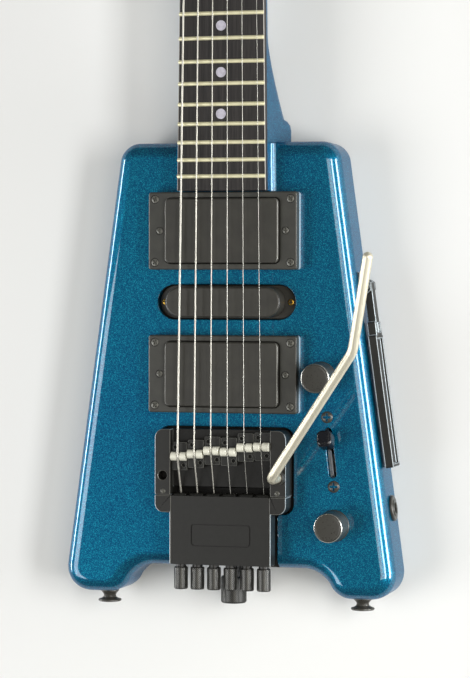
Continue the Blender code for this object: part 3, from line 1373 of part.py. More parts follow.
def main():
    clear_scene()
    lacquer = material("blue metallic lacquer", (0.005, 0.115, 0.235), 0.25, 0.4)
    rosewood = material("dark fingerboard wood", (0.045, 0.038, 0.036), 0.55, 0.0)
    bone = material("nut graphite", (0.03, 0.03, 0.03), 0.45, 0.0)
    casting = material("black plated casting", (0.040, 0.040, 0.036), 0.38, 0.7)
    black_metal = material("black plated steel", (0.045, 0.045, 0.042), 0.30, 0.8)
    black_plastic = material("black plastic", (0.03, 0.03, 0.03), 0.40, 0.0)
    pickup_plastic = material("pickup cover plastic", (0.055, 0.055, 0.05), 0.42, 0.0)
    steel = material("plated steel", (0.35, 0.35, 0.35), 0.30, 1.0)
    bright_steel = material("satin nickel", (0.62, 0.59, 0.52), 0.25, 1.0)
    string_steel = material("string steel", (0.60, 0.60, 0.58), 0.25, 1.0)

    build_timber(lacquer)
    build_fingerboard(rosewood)
    build_nut(bone)
    build_headpiece(black_metal)
    build_truss_rod(steel)
    build_strings(string_steel)
    build_pickup_set("neck", NECK_PICKUP_Y, pickup_plastic, black_plastic)
    build_pickup_set("bridge", BRIDGE_PICKUP_Y, pickup_plastic, black_plastic)
    build_middle_pickup(pickup_plastic)

    pivot = axis_empty("tremolo_axis", (0, PIVOT_Y, FACE + PIVOT_H))
    build_tremolo_base(steel)
    build_bridge_frame(casting, pivot)
    build_tail(casting, pivot)
    build_saddles(casting, pivot)
    build_jaws_and_tuners(steel, casting, pivot)
    build_spring_lever(steel, pivot)
    build_spring_adjuster(steel, casting)
    build_spring(steel)
    build_arm(bright_steel, black_plastic, pivot)

    build_pot_and_knob("volume", control_at(VOLUME_Y, VOLUME_INSET), steel, black_metal)
    build_pot_and_knob("tone", control_at(TONE_Y, TONE_INSET), steel, black_metal)
    build_switch(steel, black_plastic)
    build_control_cover(black_plastic)
    build_jack(steel)
    build_strap_buttons(black_metal)
    build_leg_rest(black_metal, steel)


main()
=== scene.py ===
# %% [markdown]
# # A headless electric guitar, dressed for its portrait
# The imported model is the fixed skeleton: every solid is in metres, in one shared frame, with the
# guitar on its back, +Z out of the front, +Y up the neck and +X towards the thin strings. The
# cells below load it, then build each visible piece over it with more detail and a real finish.

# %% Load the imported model
import math

import bmesh
import bpy
from mathutils import Matrix, Vector


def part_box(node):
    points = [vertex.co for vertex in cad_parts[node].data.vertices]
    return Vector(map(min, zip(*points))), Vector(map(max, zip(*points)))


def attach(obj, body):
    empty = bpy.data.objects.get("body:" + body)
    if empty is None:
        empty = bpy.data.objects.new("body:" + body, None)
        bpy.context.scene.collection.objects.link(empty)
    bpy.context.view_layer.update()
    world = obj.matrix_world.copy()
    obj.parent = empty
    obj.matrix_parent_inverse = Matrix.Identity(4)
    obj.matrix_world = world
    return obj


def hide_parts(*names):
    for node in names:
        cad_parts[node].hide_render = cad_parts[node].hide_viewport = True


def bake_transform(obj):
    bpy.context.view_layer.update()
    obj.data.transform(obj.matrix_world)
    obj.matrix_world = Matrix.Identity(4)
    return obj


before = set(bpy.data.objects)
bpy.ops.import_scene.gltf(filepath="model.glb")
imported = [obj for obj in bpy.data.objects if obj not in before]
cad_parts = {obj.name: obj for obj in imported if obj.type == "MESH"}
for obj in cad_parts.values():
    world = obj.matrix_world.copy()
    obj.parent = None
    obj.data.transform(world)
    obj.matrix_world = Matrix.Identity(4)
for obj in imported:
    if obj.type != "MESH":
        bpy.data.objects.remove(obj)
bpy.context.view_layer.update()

# %% [markdown]
# The camera stands where the photographer stood: about a metre and a half in front of the
# face, fifteen degrees round to the thin-string side. A long lens keeps the sides parallel.
# A Blender camera looks down its own -Z axis, so its matrix is built from the three directions
# that its axes should have. The sensor's 36 mm lie along the long side of the picture.

# %% Camera
PICTURE_HEIGHT = 678
FOCAL_PIXELS = 2549
azimuth, elevation, roll = (math.radians(angle) for angle in (15.19, 1.23, 0.11))
target = Vector((0.0053, 0.0664, 0.040))
outward = Vector((math.sin(azimuth) * math.cos(elevation), math.sin(elevation),
                  math.cos(azimuth) * math.cos(elevation)))
sideways = Vector((0, 1, 0)).cross(outward).normalized()
axes = Matrix((sideways, outward.cross(sideways), outward)).transposed().to_4x4()
camera = bpy.data.objects.new("portrait_camera", bpy.data.cameras.new("portrait_camera"))
camera.matrix_world = Matrix.Translation(target + outward * 1.504) @ axes @ Matrix.Rotation(roll, 4, "Z")
camera.data.lens = 36 * FOCAL_PIXELS / PICTURE_HEIGHT
bpy.context.scene.collection.objects.link(camera)
bpy.context.scene.camera = camera
print("lens:", round(camera.data.lens, 1), "mm")

# %% [markdown]
# Materials come from a few small helpers. One turns a colour as a picture editor shows it, an
# sRGB hex value, into the linear numbers that a shader adds up. Others make a material, add a
# node with its values and links, make a soft random pattern, mix two colours by it and raise
# bumps with it. The last one puts them together, so that most finishes below are one short
# recipe. All patterns use Object coordinates in metres, so a scale of 1 / 0.0003 makes cells of
# 0.3 mm, whatever piece they are on.

# %% Material helpers
def linear(hexadecimal):
    """Linear RGBA of an sRGB hex colour such as #0e677e."""
    shares = [int(hexadecimal[i:i + 2], 16) / 255 for i in (1, 3, 5)]
    return [s / 12.92 if s <= 0.04045 else ((s + 0.055) / 1.055) ** 2.4 for s in shares] + [1.0]


def add(tree, kind, properties=None, values=None, links=None):
    """Adds a node with its properties, input values and links from other nodes' outputs."""
    made = tree.nodes.new(kind)
    for name, value in (properties or {}).items():
        setattr(made, name, value)
    for socket, value in (values or {}).items():
        made.inputs[socket].default_value = value
    for socket, source in (links or {}).items():
        tree.links.new(source, made.inputs[socket])
    return made


def finish_named(name, colour, roughness, metallic=0.0, **more):
    """A material with its Principled shader set, and the object coordinates for its patterns."""
    made = bpy.data.materials.new(name)
    made.use_nodes = True
    tree = made.node_tree
    shader = tree.nodes["Principled BSDF"]
    settings = {"Base Color": linear(colour), "Roughness": roughness, "Metallic": metallic, **more}
    for socket, value in settings.items():
        shader.inputs[socket].default_value = value
    place = tree.nodes.new("ShaderNodeTexCoord").outputs["Object"]
    return made, tree, shader, place


def mottle(tree, place, millimetres, low, high, detail=3.0):
    """A soft random pattern of that size, running from one value to another."""
    noise = add(tree, "ShaderNodeTexNoise", None,
                {"Scale": 1000 / millimetres, "Detail": detail}, {"Vector": place})
    spread = add(tree, "ShaderNodeMapRange", None,
                 {"From Min": 0.3, "From Max": 0.7, "To Min": low, "To Max": high},
                 {"Value": noise.outputs["Fac"]})
    return spread.outputs["Result"]


def blend_colours(tree, factor, first, second):
    """Two hex colours mixed by a pattern."""
    mix = add(tree, "ShaderNodeMix", {"data_type": "RGBA"}, {6: linear(first), 7: linear(second)},
              {0: factor})
    return mix.outputs[2]


def bumps(tree, shader, height, millimetres):
    """Raises a pattern by a real height, in front of the shader."""
    bump = add(tree, "ShaderNodeBump", None, {"Strength": 1.0, "Distance": millimetres / 1000},
               {"Height": height})
    tree.links.new(bump.outputs["Normal"], shader.inputs["Normal"])


def varied(name, colour, roughness, metallic=0.0, gloss=None, tint=None, grit=None, **more):
    """A finish whose gloss, colour and surface vary softly, each in cells of some millimetres."""
    made, tree, shader, place = finish_named(name, colour, roughness, metallic, **more)
    if gloss:
        tree.links.new(mottle(tree, place, *gloss), shader.inputs["Roughness"])
    if tint:
        millimetres, detail, first, second = tint
        pattern = mottle(tree, place, millimetres, 0, 1, detail)
        tree.links.new(blend_colours(tree, pattern, first, second), shader.inputs["Base Color"])
    if grit:
        millimetres, detail, height = grit
        bumps(tree, shader, mottle(tree, place, millimetres, 0, 1, detail), height)
    return made

# %% [markdown]
# The body's colour is a metallic lacquer: clear lacquer with aluminium flakes in it over blue,
# and a polished clear coat on top. The flakes make two effects that a flat paint lacks. Each
# one is a tiny mirror at its own tilt, so under light some cells glint lighter than their
# neighbours, and under a broad light the whole film turns from deep blue to teal. Here the glint
# is painted into the base colour: a share of the cells is painted as a teal highlight over the
# deep blue. The shader has a rough metallic base for the flakes and a smooth coat for the
# mirror lines along the rounded edges.

# %% Metallic lacquer
lacquer, tree, shader, place = finish_named(
    "metallic blue lacquer, polished", "#035572", 0.40, 0.6,
    **{"Coat Weight": 0.45, "Coat Roughness": 0.03, "Coat IOR": 2.0, "Specular IOR Level": 0.1,
       "Specular Tint": (0.25, 0.45, 0.8, 1.0)})
flakes = add(tree, "ShaderNodeTexVoronoi", None, {"Scale": 1 / 0.0003, "Randomness": 1.0},
             {"Vector": place})
tilt = add(tree, "ShaderNodeSeparateColor", None, None, {"Color": flakes.outputs["Color"]})
# Painted glint: cells with a high random value get a lighter teal, a highlight painted into the colour over
# the deep blue.
painted_glint_mask = add(tree, "ShaderNodeMapRange", None,
            {"From Min": 0.58, "From Max": 1.0, "To Min": 0.0, "To Max": 1.0},
            {"Value": tilt.outputs["Red"]})
cloud = mottle(tree, place, 60, 0.0, 1.0, 0.0)
deep = blend_colours(tree, cloud, "#004266", "#00486a")
painted_glint_teal = blend_colours(tree, cloud, "#1484a0", "#188ea6")
skin = add(tree, "ShaderNodeMix", {"data_type": "RGBA"}, None,
           {0: painted_glint_mask.outputs["Result"], 6: deep, 7: painted_glint_teal})
tree.links.new(skin.outputs[2], shader.inputs["Base Color"])

# %% [markdown]
# The fingerboard is dark open-pored hardwood, oiled and not lacquered, so it is dull and shows
# streaks along the grain. Stretching a noise along Y makes the streaks. Its long edges get a
# thin grey line that is a painted highlight. The inlaid dots are plain pearly plastic, a
# little lilac. Frets are drawn nickel silver wire, a warm yellowish white.

# %% Fingerboard wood, dots and fret wire
# A light grey painted highlight for the fingerboard's long edges.
board_edge_highlight = varied("hardwood edge, painted highlight", "#8a8680", 0.45, 0.0, (3.0, 0.38, 0.52))

board_wood, tree, shader, place = finish_named("dark oiled hardwood", "#2a2827", 0.6,
                                                **{"Specular IOR Level": 0.3})
stretched = add(tree, "ShaderNodeMapping", None, {"Scale": (1.0, 0.035, 1.0)}, {"Vector": place})
streaks = mottle(tree, stretched.outputs["Vector"], 1.1, 0.0, 1.0, 4.0)
tree.links.new(blend_colours(tree, streaks, "#1b1a1a", "#312e2d"), shader.inputs["Base Color"])
pores = mottle(tree, stretched.outputs["Vector"], 0.5, 0.0, 1.0, 2.0)
bumps(tree, shader, pores, 0.03)

dot_plastic = varied("pearly grey plastic", "#b3b0ba", 0.3, tint=(1.5, 3, "#a6a3ae", "#bdbac6"))

fret_silver, tree, shader, place = finish_named("drawn nickel silver", "#dfdab6", 0.4, 0.4)
along_wire = add(tree, "ShaderNodeMapping", None, {"Scale": (0.15, 1.0, 1.0)}, {"Vector": place})
scratches = mottle(tree, along_wire.outputs["Vector"], 0.4, 0.34, 0.46)
tree.links.new(scratches, shader.inputs["Roughness"])

# %% [markdown]
# Most of the hardware is black. Black things look right only through their gloss, so each has
# its own roughness pattern. The castings have a thin, faintly grainy coat on zinc. Their sharp
# outer edges carry a bright painted highlight line, and their inner edges a dimmer grey painted
# highlight. The bed is rougher, and painted darker as painted shade. The pickup covers and rings
# are moulded plastic, warmer and duller, and each ring has a painted reflection along its foot.
# Knobs are turned metal with a bright rim, and the knurled grips are darker, with a painted
# highlight on their points. Screws are greyer than what they hold, so they stand out. The
# shielding paint in the pockets is the dullest, and the same paint is painted shade in screw
# recesses, holes and grooves. The selector's moulding is the glossiest.

# %% Black finishes
SATIN = {"Specular IOR Level": 0.4}
casting_black = varied("black coated zinc casting", "#171714", 0.44, 0.1, (0.8, 0.40, 0.50),
                       (2.5, 3, "#151512", "#191916"), (0.35, 1, 0.004), **SATIN)
# A bright painted highlight for sharp edges of the castings.
painted_edge_highlight = varied("bright painted highlight on the edges", "#a3adb2", 0.32, 0.4, (1.4, 0.24, 0.38))
# A dimmer grey painted highlight for inner edges and rims.
painted_dim_highlight = varied("dim grey painted highlight on the edges", "#5c5c57", 0.4, 0.3, (1.4, 0.34, 0.46))
# Rougher than the casting, and painted darker as painted shade for the recessed bed.
bed_black_painted_shade = varied("black coated bed, unpolished, painted shade", "#0f0f0d", 0.6, 0.0, (1.2, 0.54, 0.66),
                   **{"Specular IOR Level": 0.3})
cover_plastic = varied("moulded warm grey ABS", "#302f2b", 0.38, 0.0, (1.6, 0.34, 0.42),
                       (9.0, 2, "#2d2c28", "#33322d"), (0.5, 1, 0.004), **SATIN)
ring_plastic = varied("moulded black ABS", "#33332f", 0.42, 0.0, None,
                      (7.0, 2, "#30302c", "#373732"), (0.45, 1, 0.006), **SATIN)
# A pale painted reflection for the lower right wall of each pickup ring.
painted_foot_reflection = varied("painted reflection along the foot of the moulding", "#a3b8c6", 0.3, 0.2, (2.0, 0.24, 0.36))
knob_black = varied("turned and blackened metal", "#3a3934", 0.32, 0.2, (1.0, 0.26, 0.36))
knob_rim = varied("diamond turned chamfer", "#c2c3bd", 0.3, 1.0, (0.8, 0.26, 0.34))
knurl_black = varied("knurled blackened steel", "#1d1d1b", 0.40, 0.3, (0.6, 0.34, 0.46))
# A light painted highlight for the knurl points.
painted_knurl_highlight = varied("painted highlight on the knurl points", "#82827c", 0.34, 0.5, (0.6, 0.28, 0.42))
screw_black = varied("blackened screw steel", "#5e5e58", 0.34, 0.3, (0.5, 0.26, 0.38))
# Real shielding paint in the pockets, and painted shade in screw recesses, holes and grooves.
shielding_paint_and_painted_shade = varied("dull black shielding paint and painted recess shade", "#161514", 0.75, grit=(1.2, 3, 0.05))
gloss_black = varied("glossy black moulding", "#17181c", 0.12, 0.0, (3.0, 0.09, 0.16))

# %% [markdown]
# The bright metals are satin nickel on the arm, paler satin plate on the rollers, plated steel
# inside, plain and wound steel for the strings, and brass screws in the middle pickup. A metal's
# colour is in its reflection, so these stay smooth in colour and vary only in roughness. The
# plastic of the nut is dark graphite. A real winding is 0.2 mm apart, too fine for the render,
# so it is drawn at 0.6 mm.

# %% Bright metals
arm_nickel = varied("satin nickel plate", "#cbc6b2", 0.40, 0.65, (0.9, 0.36, 0.44))
roller_steel = varied("satin plated roller", "#d6d5c6", 0.45, 0.1, (0.7, 0.32, 0.42))
plated_steel = varied("plated steel", "#9c9c98", 0.32, 1.0, (1.5, 0.26, 0.40))
string_steel = varied("plain steel wire", "#aeada6", 0.4, 0.7, (1.0, 0.36, 0.44))
brass = varied("brass screw", "#b8923f", 0.3, 1.0, (0.6, 0.24, 0.38))
graphite = varied("filled graphite plastic", "#262628", 0.45, 0.0, (1.0, 0.38, 0.52))

WINDING = 0.0006
wound_steel, tree, shader, place = finish_named("steel wound over steel", "#acaaa1", 0.42, 0.7)
winding = add(tree, "ShaderNodeTexWave", {"wave_type": "BANDS", "bands_direction": "Y"},
              {"Scale": 1 / (2 * math.pi * WINDING) * math.pi / 5}, {"Vector": place})
bumps(tree, shader, winding.outputs["Fac"], 0.008)
print("materials:", len(bpy.data.materials))

# %% [markdown]
# Every piece that keeps its own solid still gets one of these finishes, put on by assigning to
# its material slot. Pieces that are rebuilt below hide their solid and take its place.

# %% Finishes for the solids that stay
KEPT = {
    "nut": graphite, "tremolo_base": bed_black_painted_shade, "pivot_shaft": bed_black_painted_shade, "spring_lever": bed_black_painted_shade,
    **{name: plated_steel for name in ("truss_rod", "volume_pot", "tone_pot", "selector_switch",
                                       "leg_rest_pin", "spring_seat")},
}
for name, finish in KEPT.items():
    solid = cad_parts[name]
    solid.data.materials.clear()
    solid.data.materials.append(finish)
print("solids kept:", len(KEPT))

# %% [markdown]
# Shapes come from a few operators. A flat outline is one face whose corners are rounded by a
# vertex bevel. Extruding it gives a solid, and an edge bevel softens the rims. A profile that
# is spun round an axis gives anything turned on a lathe. Cuts are Booleans with solids made the
# same way. Chosen faces can get a finish of their own. The last helper names and shades a piece
# and hands it over to the body that carries it.

# %% Shape helpers
FACE = 0.040
PAST = 0.010  # a cutting solid reaches this far past what it cuts

def bevel(bm, geom, width, steps, affect="EDGES", material=-1, clamp=False):
    """Rounds edges or corners of a bmesh."""
    bmesh.ops.bevel(bm, geom=geom, offset=width, offset_type="OFFSET", affect=affect, segments=steps,
                    profile=0.5, material=material, clamp_overlap=clamp)


def outline(bm, corners, height, steps=8):
    """One flat face through (x, y, radius) corners, each rounded to its radius."""
    verts = [bm.verts.new((x, y, height)) for x, y, radius in corners]
    face = bm.faces.new(verts)
    bm.normal_update()
    if face.normal.z < 0:
        face.normal_flip()
    radii = {}
    for vert, (x, y, radius) in zip(verts, corners):
        if radius > 0:
            radii.setdefault(radius, []).append(vert)
    for radius, group in radii.items():
        for vert in group:
            back, ahead = [edge.other_vert(vert).co - vert.co for edge in vert.link_edges]
            bevel(bm, [vert], radius / math.tan(back.angle(ahead) / 2), steps, "VERTICES")
    return next(iter(bm.faces))


def raise_face(bm, face, low, high):
    """Extrudes a flat face from one height to another and returns the far face."""
    for vert in face.verts:
        vert.co.z = low
    grown = bmesh.ops.extrude_face_region(bm, geom=[face], use_keep_orig=True)
    top = [item for item in grown["geom"] if isinstance(item, bmesh.types.BMFace)][0]
    for vert in top.verts:
        vert.co.z = high
    return top


def round_rim(bm, height, radius, steps=4):
    """Bevels the edges that lie at one height."""
    edges = [edge for edge in bm.edges
             if all(abs(vert.co.z - height) < 1e-6 for vert in edge.verts)
             and edge.calc_face_angle(0) > 0.3]
    bevel(bm, edges, radius, steps)


def plate(corners, low, high, rim=0.0, steps=8, rim_steps=4, both=False):
    """A solid with rounded corners and a softened top rim, as a new bmesh."""
    bm = bmesh.new()
    raise_face(bm, outline(bm, corners, low, steps), low, high)
    bmesh.ops.recalc_face_normals(bm, faces=bm.faces)
    if rim:
        round_rim(bm, high, rim, rim_steps)
        if both:
            round_rim(bm, low, rim, rim_steps)
    return bm


def rectangle(half_x, low_y, high_y, radius, x=0.0):
    return [(x - half_x, low_y, radius), (x + half_x, low_y, radius), (x + half_x, high_y, radius),
            (x - half_x, high_y, radius)]


def twin(corners):
    """Right-hand corners, bottom to top, with their left-hand twins."""
    return corners + [(-x, y, radius) for x, y, radius in reversed(corners)]


def cutter(corners, low, rim=0.0005, steps=8, surface=FACE):
    """A cutting solid up through a surface, flared there so that the cut's rim is round."""
    bm = bmesh.new()
    top = raise_face(bm, outline(bm, corners, low, steps), low, surface - rim)
    bmesh.ops.recalc_face_normals(bm, faces=bm.faces)
    for first, second in ((0, 30), (30, 60), (60, 90)):
        grow = rim * (math.cos(math.radians(first)) - math.cos(math.radians(second)))
        lift = rim * (math.sin(math.radians(second)) - math.sin(math.radians(first)))
        bmesh.ops.inset_region(bm, faces=[top], thickness=-grow, depth=lift, use_even_offset=True)
    bmesh.ops.inset_region(bm, faces=[top], thickness=0.0, depth=0.012, use_even_offset=True)
    return bm


def lathe(profile, place=Matrix(), steps=32):
    """Spins (radius, height) points round the Z axis of a place."""
    bm = bmesh.new()
    verts = [bm.verts.new((radius, 0, height)) for radius, height in profile]
    for first, second in zip(verts, verts[1:]):
        bm.edges.new((first, second))
    bmesh.ops.spin(bm, geom=bm.verts[:] + bm.edges[:], cent=(0, 0, 0), axis=(0, 0, 1),
                   dvec=(0, 0, 0), angle=2 * math.pi, steps=steps, use_merge=True)
    bmesh.ops.remove_doubles(bm, verts=bm.verts, dist=1e-7)
    bmesh.ops.transform(bm, matrix=place, verts=bm.verts)
    return bm


def at(x, y, z):
    return Matrix.Translation((x, y, z))


def towards(point, direction):
    """A place whose Z axis points along a direction."""
    return Matrix.Translation(point) @ Vector(direction).to_track_quat("Z", "Y").to_matrix().to_4x4()


def rod(radius, low, high, place, steps=32):
    """A plain cylinder along the Z axis of a place."""
    return lathe([(0, low), (radius, low), (radius, high), (0, high)], place, steps)


def solid(bm, material=None):
    """Turns a bmesh into a linked object, with its doubles merged and its faces outwards."""
    bmesh.ops.remove_doubles(bm, verts=bm.verts, dist=1e-7)
    bmesh.ops.recalc_face_normals(bm, faces=bm.faces)
    mesh = bpy.data.meshes.new("part")
    bm.to_mesh(mesh)
    bm.free()
    made = bpy.data.objects.new("part", mesh)
    bpy.context.scene.collection.objects.link(made)
    if material is not None:
        mesh.materials.append(material)
    return made


def settle(piece):
    """Replaces a piece's mesh by the result of its modifiers."""
    graph = bpy.context.evaluated_depsgraph_get()
    result = bpy.data.meshes.new_from_object(piece.evaluated_get(graph))
    piece.modifiers.clear()
    piece.data = result


def boolean(piece, others, operation):
    """Joins other solids to a piece or cuts them out of it, and uses them up."""
    for other in others:
        step = piece.modifiers.new("boolean", "BOOLEAN")
        step.operation = operation
        step.solver = "EXACT"
        step.object = other
    settle(piece)
    for other in others:
        bpy.data.objects.remove(other, do_unlink=True)
    return piece


def gather(shapes, *materials):
    """One object from several separate meshes, each (bmesh, place)."""
    whole = bmesh.new()
    for bm, place in shapes:
        holder = bpy.data.meshes.new("holder")
        copy = bm.copy()
        bmesh.ops.transform(copy, matrix=place, verts=copy.verts)
        copy.to_mesh(holder)
        copy.free()
        whole.from_mesh(holder)
        bpy.data.meshes.remove(holder)
    made = solid(whole)
    for material in materials:
        made.data.materials.append(material)
    return made


def refinish(piece, material, chosen):
    """Gives the chosen faces of a piece another finish."""
    piece.data.materials.append(material)
    for polygon in piece.data.polygons:
        if chosen(polygon.center, polygon.normal):
            polygon.material_index = len(piece.data.materials) - 1


def hand_over(piece, name, body, nodes=(), smooth=30, flat=True):
    """Names a finished piece, shades it, and gives it to the body that carries it."""
    piece.name = name
    piece.data.name = name
    piece.data.shade_smooth()
    piece.data.set_sharp_from_angle(angle=math.radians(smooth))
    if flat:
        weigh = piece.modifiers.new("flat faces stay flat", "WEIGHTED_NORMAL")
        weigh.keep_sharp = True
        weigh.weight = 100
    if nodes:
        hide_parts(*nodes)
    if body:
        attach(piece, body)
    print(name, "-", len(piece.data.polygons), "faces on", body)
    return piece

# %% [markdown]
# The body is one block of laminated maple under one skin of lacquer, so the core and both
# wings of the solid model become a single shell here. Its outline has eight corners: the
# shoulders, the two tail horns and the notch between them. The edge bevel of 9 mm makes the
# long rounded edges that carry the mirror lines.

# %% Body slab
SHOULDER_X, SHOULDER_Y = 0.0663, 0.1827
TAIL_X, TAIL_Y = 0.1032, -0.086
NOTCH_X, NOTCH_Y = 0.0571, -0.0687
HORN_X = 0.0658
corners = [(NOTCH_X, NOTCH_Y, 0.0176), (HORN_X, TAIL_Y, 0.013), (TAIL_X, TAIL_Y, 0.015),
           (SHOULDER_X, SHOULDER_Y, 0.012)]
body_bm = plate(twin(corners), 0.0, FACE, 0.009, 14, 10, both=True)
print("body slab corners:", len(body_bm.verts))
body = solid(body_bm, lacquer)

# %% [markdown]
# The neck grows out of the body: a square heel, a soft ridge, then a slim rounded section up
# to the nut. It is skinned over rings. Each ring starts as a plain circle of vertices, which is
# pressed into a half superellipse, flat under the fingerboard and round behind, and the rings
# are joined by bridging their loops.

# %% Neck
SCALE = 0.6477
NECK_TOP = 0.047
NECK_END = 0.651
NUT_HALF, LAST_FRET_HALF = 0.021, 0.02685


def board_half(y):
    """Half width of neck and fingerboard, wider towards the body."""
    return NUT_HALF + (LAST_FRET_HALF - NUT_HALF) * (SCALE - y) / (SCALE - SCALE / 4)


def neck_ring(bm, y, half, depth, squareness):
    """A circle pressed into the neck's section at one place along it."""
    ring = bmesh.ops.create_circle(bm, cap_ends=False, segments=48, radius=1.0)["verts"]
    for vert in ring:
        x, z = vert.co.x, vert.co.y
        if z > -1e-6:
            vert.co = (min(half, board_half(y)) * 2 * math.asin(max(-1, min(1, x))) / math.pi, y, NECK_TOP)
        else:
            power = 2 / squareness
            vert.co = (half * math.copysign(abs(x) ** power, x), y, NECK_TOP - depth * abs(z) ** power)
    return {edge for vert in ring for edge in vert.link_edges}


HEEL_HALF = 0.0315
RIDGE_Y, RIDGE_HALF, RIDGE_DEPTH = 0.1968, 0.0295, 0.0405
NECK_DEPTH, NUT_DEPTH = 0.0172, 0.0140
FLOW = 0.047
neck_bm = bmesh.new()
stations = [(SHOULDER_Y - 0.0012, HEEL_HALF, 0.0440, 16), (0.1905, HEEL_HALF, 0.0440, 16),
            (0.1935, 0.0312, 0.0435, 14), (0.1955, 0.0303, 0.0425, 11)]
for step in range(15):
    left = 1 - step / 14
    y = RIDGE_Y + FLOW * step / 14
    half = board_half(y) + (RIDGE_HALF - board_half(y)) * left ** 1.3
    depth = NECK_DEPTH + (RIDGE_DEPTH - NECK_DEPTH) * left ** 1.5
    stations.append((y, half, depth, 2.5 + 4.5 * left ** 1.5))
for step in range(1, 7):
    share = step / 6
    y = RIDGE_Y + FLOW + (NECK_END - RIDGE_Y - FLOW) * share
    stations.append((y, board_half(y), NECK_DEPTH + (NUT_DEPTH - NECK_DEPTH) * share, 2.5))
rings = [neck_ring(neck_bm, *station) for station in stations]
for first, second in zip(rings, rings[1:]):
    bmesh.ops.bridge_loops(neck_bm, edges=list(first | second))
bmesh.ops.holes_fill(neck_bm, edges=[edge for edge in neck_bm.edges if edge.is_boundary], sides=0)
neck = solid(neck_bm, lacquer)
print("neck rings:", len(rings))

# %% [markdown]
# Under the last frets the core stands 7 mm proud of the face, and a concave fillet brings it
# down to the face. The section is drawn once as a face in the X-Z plane, with the fillet as a
# bevelled inner corner, and extruded along the neck.

# %% Raised block under the fingerboard's end
block_bm = bmesh.new()
half = board_half(0.168)
section = outline(block_bm, twin([(half + 0.0042, FACE - 0.012, 0), (half + 0.0042, FACE, 0),
                                  (half, FACE, 0.004), (half, NECK_TOP, 0)]), 0, 10)
raise_face(block_bm, section, -0.1814, -0.1535)
for vert in block_bm.verts:
    share = board_half(-vert.co.z) / half
    vert.co.x *= share
bmesh.ops.transform(block_bm, matrix=Matrix.Rotation(math.pi / 2, 4, "X"), verts=block_bm.verts)
block = solid(block_bm, lacquer)
tongue = solid(plate(rectangle(0.015, 0.650, 0.664, 0.001), FACE - 0.004, FACE + 0.004), lacquer)
boolean(body, [neck, block, tongue], "UNION")
print("body with neck:", len(body.data.polygons), "faces")

# %% [markdown]
# The front has one pocket for each pickup, one for the tremolo carriage and a slot for the
# selector, and the back has the cavity for the controls. A cutter is flared where it leaves the
# face, so that every pocket has the small round rim that lacquer leaves on an edge. The pockets
# are painted dull black inside, which is a second material on their faces.

# %% Routs, holes and cavities
def stadium(length, width, place_y):
    return rectangle(length / 2, place_y - width / 2, place_y + width / 2, width / 2 - 1e-5)


def hole(x, y, low, high, radius, steps=32):
    return rod(radius, low, high, at(x, y, 0), steps)


def middle(node):
    """The centre of a solid's box."""
    low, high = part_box(node)
    return (low + high) / 2


SIDE_ANGLE = math.atan2(TAIL_X - SHOULDER_X, SHOULDER_Y - TAIL_Y)


def treble_side(y, height, out=0.0):
    """A place on the treble side: X out of the side, Y up along it, Z out of the front."""
    x = SHOULDER_X + (SHOULDER_Y - y) * math.tan(SIDE_ANGLE)
    return at(x, y, height) @ Matrix.Rotation(SIDE_ANGLE, 4, "Z") @ at(out, 0, 0)


VOLUME = middle("volume_knob").xy
TONE = middle("tone_knob").xy
SWITCH = Vector((0.063162, 0.0002))
SLOT_TURN = math.radians(6.6)
SPRING_Z = 0.022
switch_place = at(SWITCH.x, SWITCH.y, 0) @ Matrix.Rotation(SLOT_TURN, 4, "Z")
jack_place = treble_side(-0.033, 0.020) @ Matrix.Rotation(math.pi / 2, 4, "Y")


def control_plate(radius, low, high):
    """The slanted oval round both pots, as cavity or as cover."""
    lie = VOLUME - TONE
    half = lie.length / 2 + radius
    bm = plate(rectangle(half, -radius, radius, radius - 1e-5), low, high, 0, 16)
    centre = (VOLUME + TONE) / 2
    turn = Matrix.Rotation(math.atan2(lie.y, lie.x), 4, "Z")
    bmesh.ops.transform(bm, matrix=at(centre.x, centre.y, 0) @ turn, verts=bm.verts)
    return bm


PICKUP_Y = {label: middle(f"{label}_pickup").y for label in ("neck", "middle", "bridge")}
PICKUP_FLOOR = FACE - 0.0123
ROUT_HALF, ROUT_NARROW = 0.041, 0.03135
ROUT_TOP, ROUT_STEP, ROUT_END = 0.0145, -0.0369, -0.0787
cuts = [
    cutter(twin([(ROUT_NARROW, ROUT_END, 0), (ROUT_NARROW, ROUT_STEP, 0.0015),
                 (ROUT_HALF, ROUT_STEP, 0.0062), (ROUT_HALF, ROUT_TOP, 0.0062)]), FACE - 0.008, 0.0006),
    cutter(stadium(0.084, 0.0206, PICKUP_Y["middle"]), PICKUP_FLOOR, 0.0006, 16),
]
for label in ("neck", "bridge"):
    y = PICKUP_Y[label]
    cuts.append(cutter(rectangle(0.0385, y - 0.01955, y + 0.01955, 0.0025), PICKUP_FLOOR))
cuts.append(plate(rectangle(0.012, -0.062, 0.004, 0.003), 0.008, FACE - 0.007))
cuts.append(rod(0.0036, ROUT_END, -0.052, towards((0, 0, SPRING_Z), (0, 1, 0))))
cuts.append(control_plate(0.017, -PAST, FACE - 0.008))
cuts.append(control_plate(0.021, -2 * PAST, 0.0022))
for x, y in (VOLUME, TONE):
    cuts.append(hole(x, y, 0.031, FACE + PAST, 0.0038))
slot_bm = cutter(rectangle(0.00225, -0.01475, 0.01475, 0.0022), FACE - 0.009, 0.0004)
bmesh.ops.transform(slot_bm, matrix=switch_place, verts=slot_bm.verts)
cuts.append(slot_bm)
cuts.append(rod(0.0049, -0.021, PAST, jack_place))
cuts.append(plate(rectangle(0.0032, 0.200, 0.645, 0), NECK_TOP - 0.009, NECK_TOP + PAST))


def carve(piece, shapes):
    """Cuts fresh bmesh solids out of a piece."""
    return boolean(piece, [solid(bm) for bm in shapes], "DIFFERENCE")


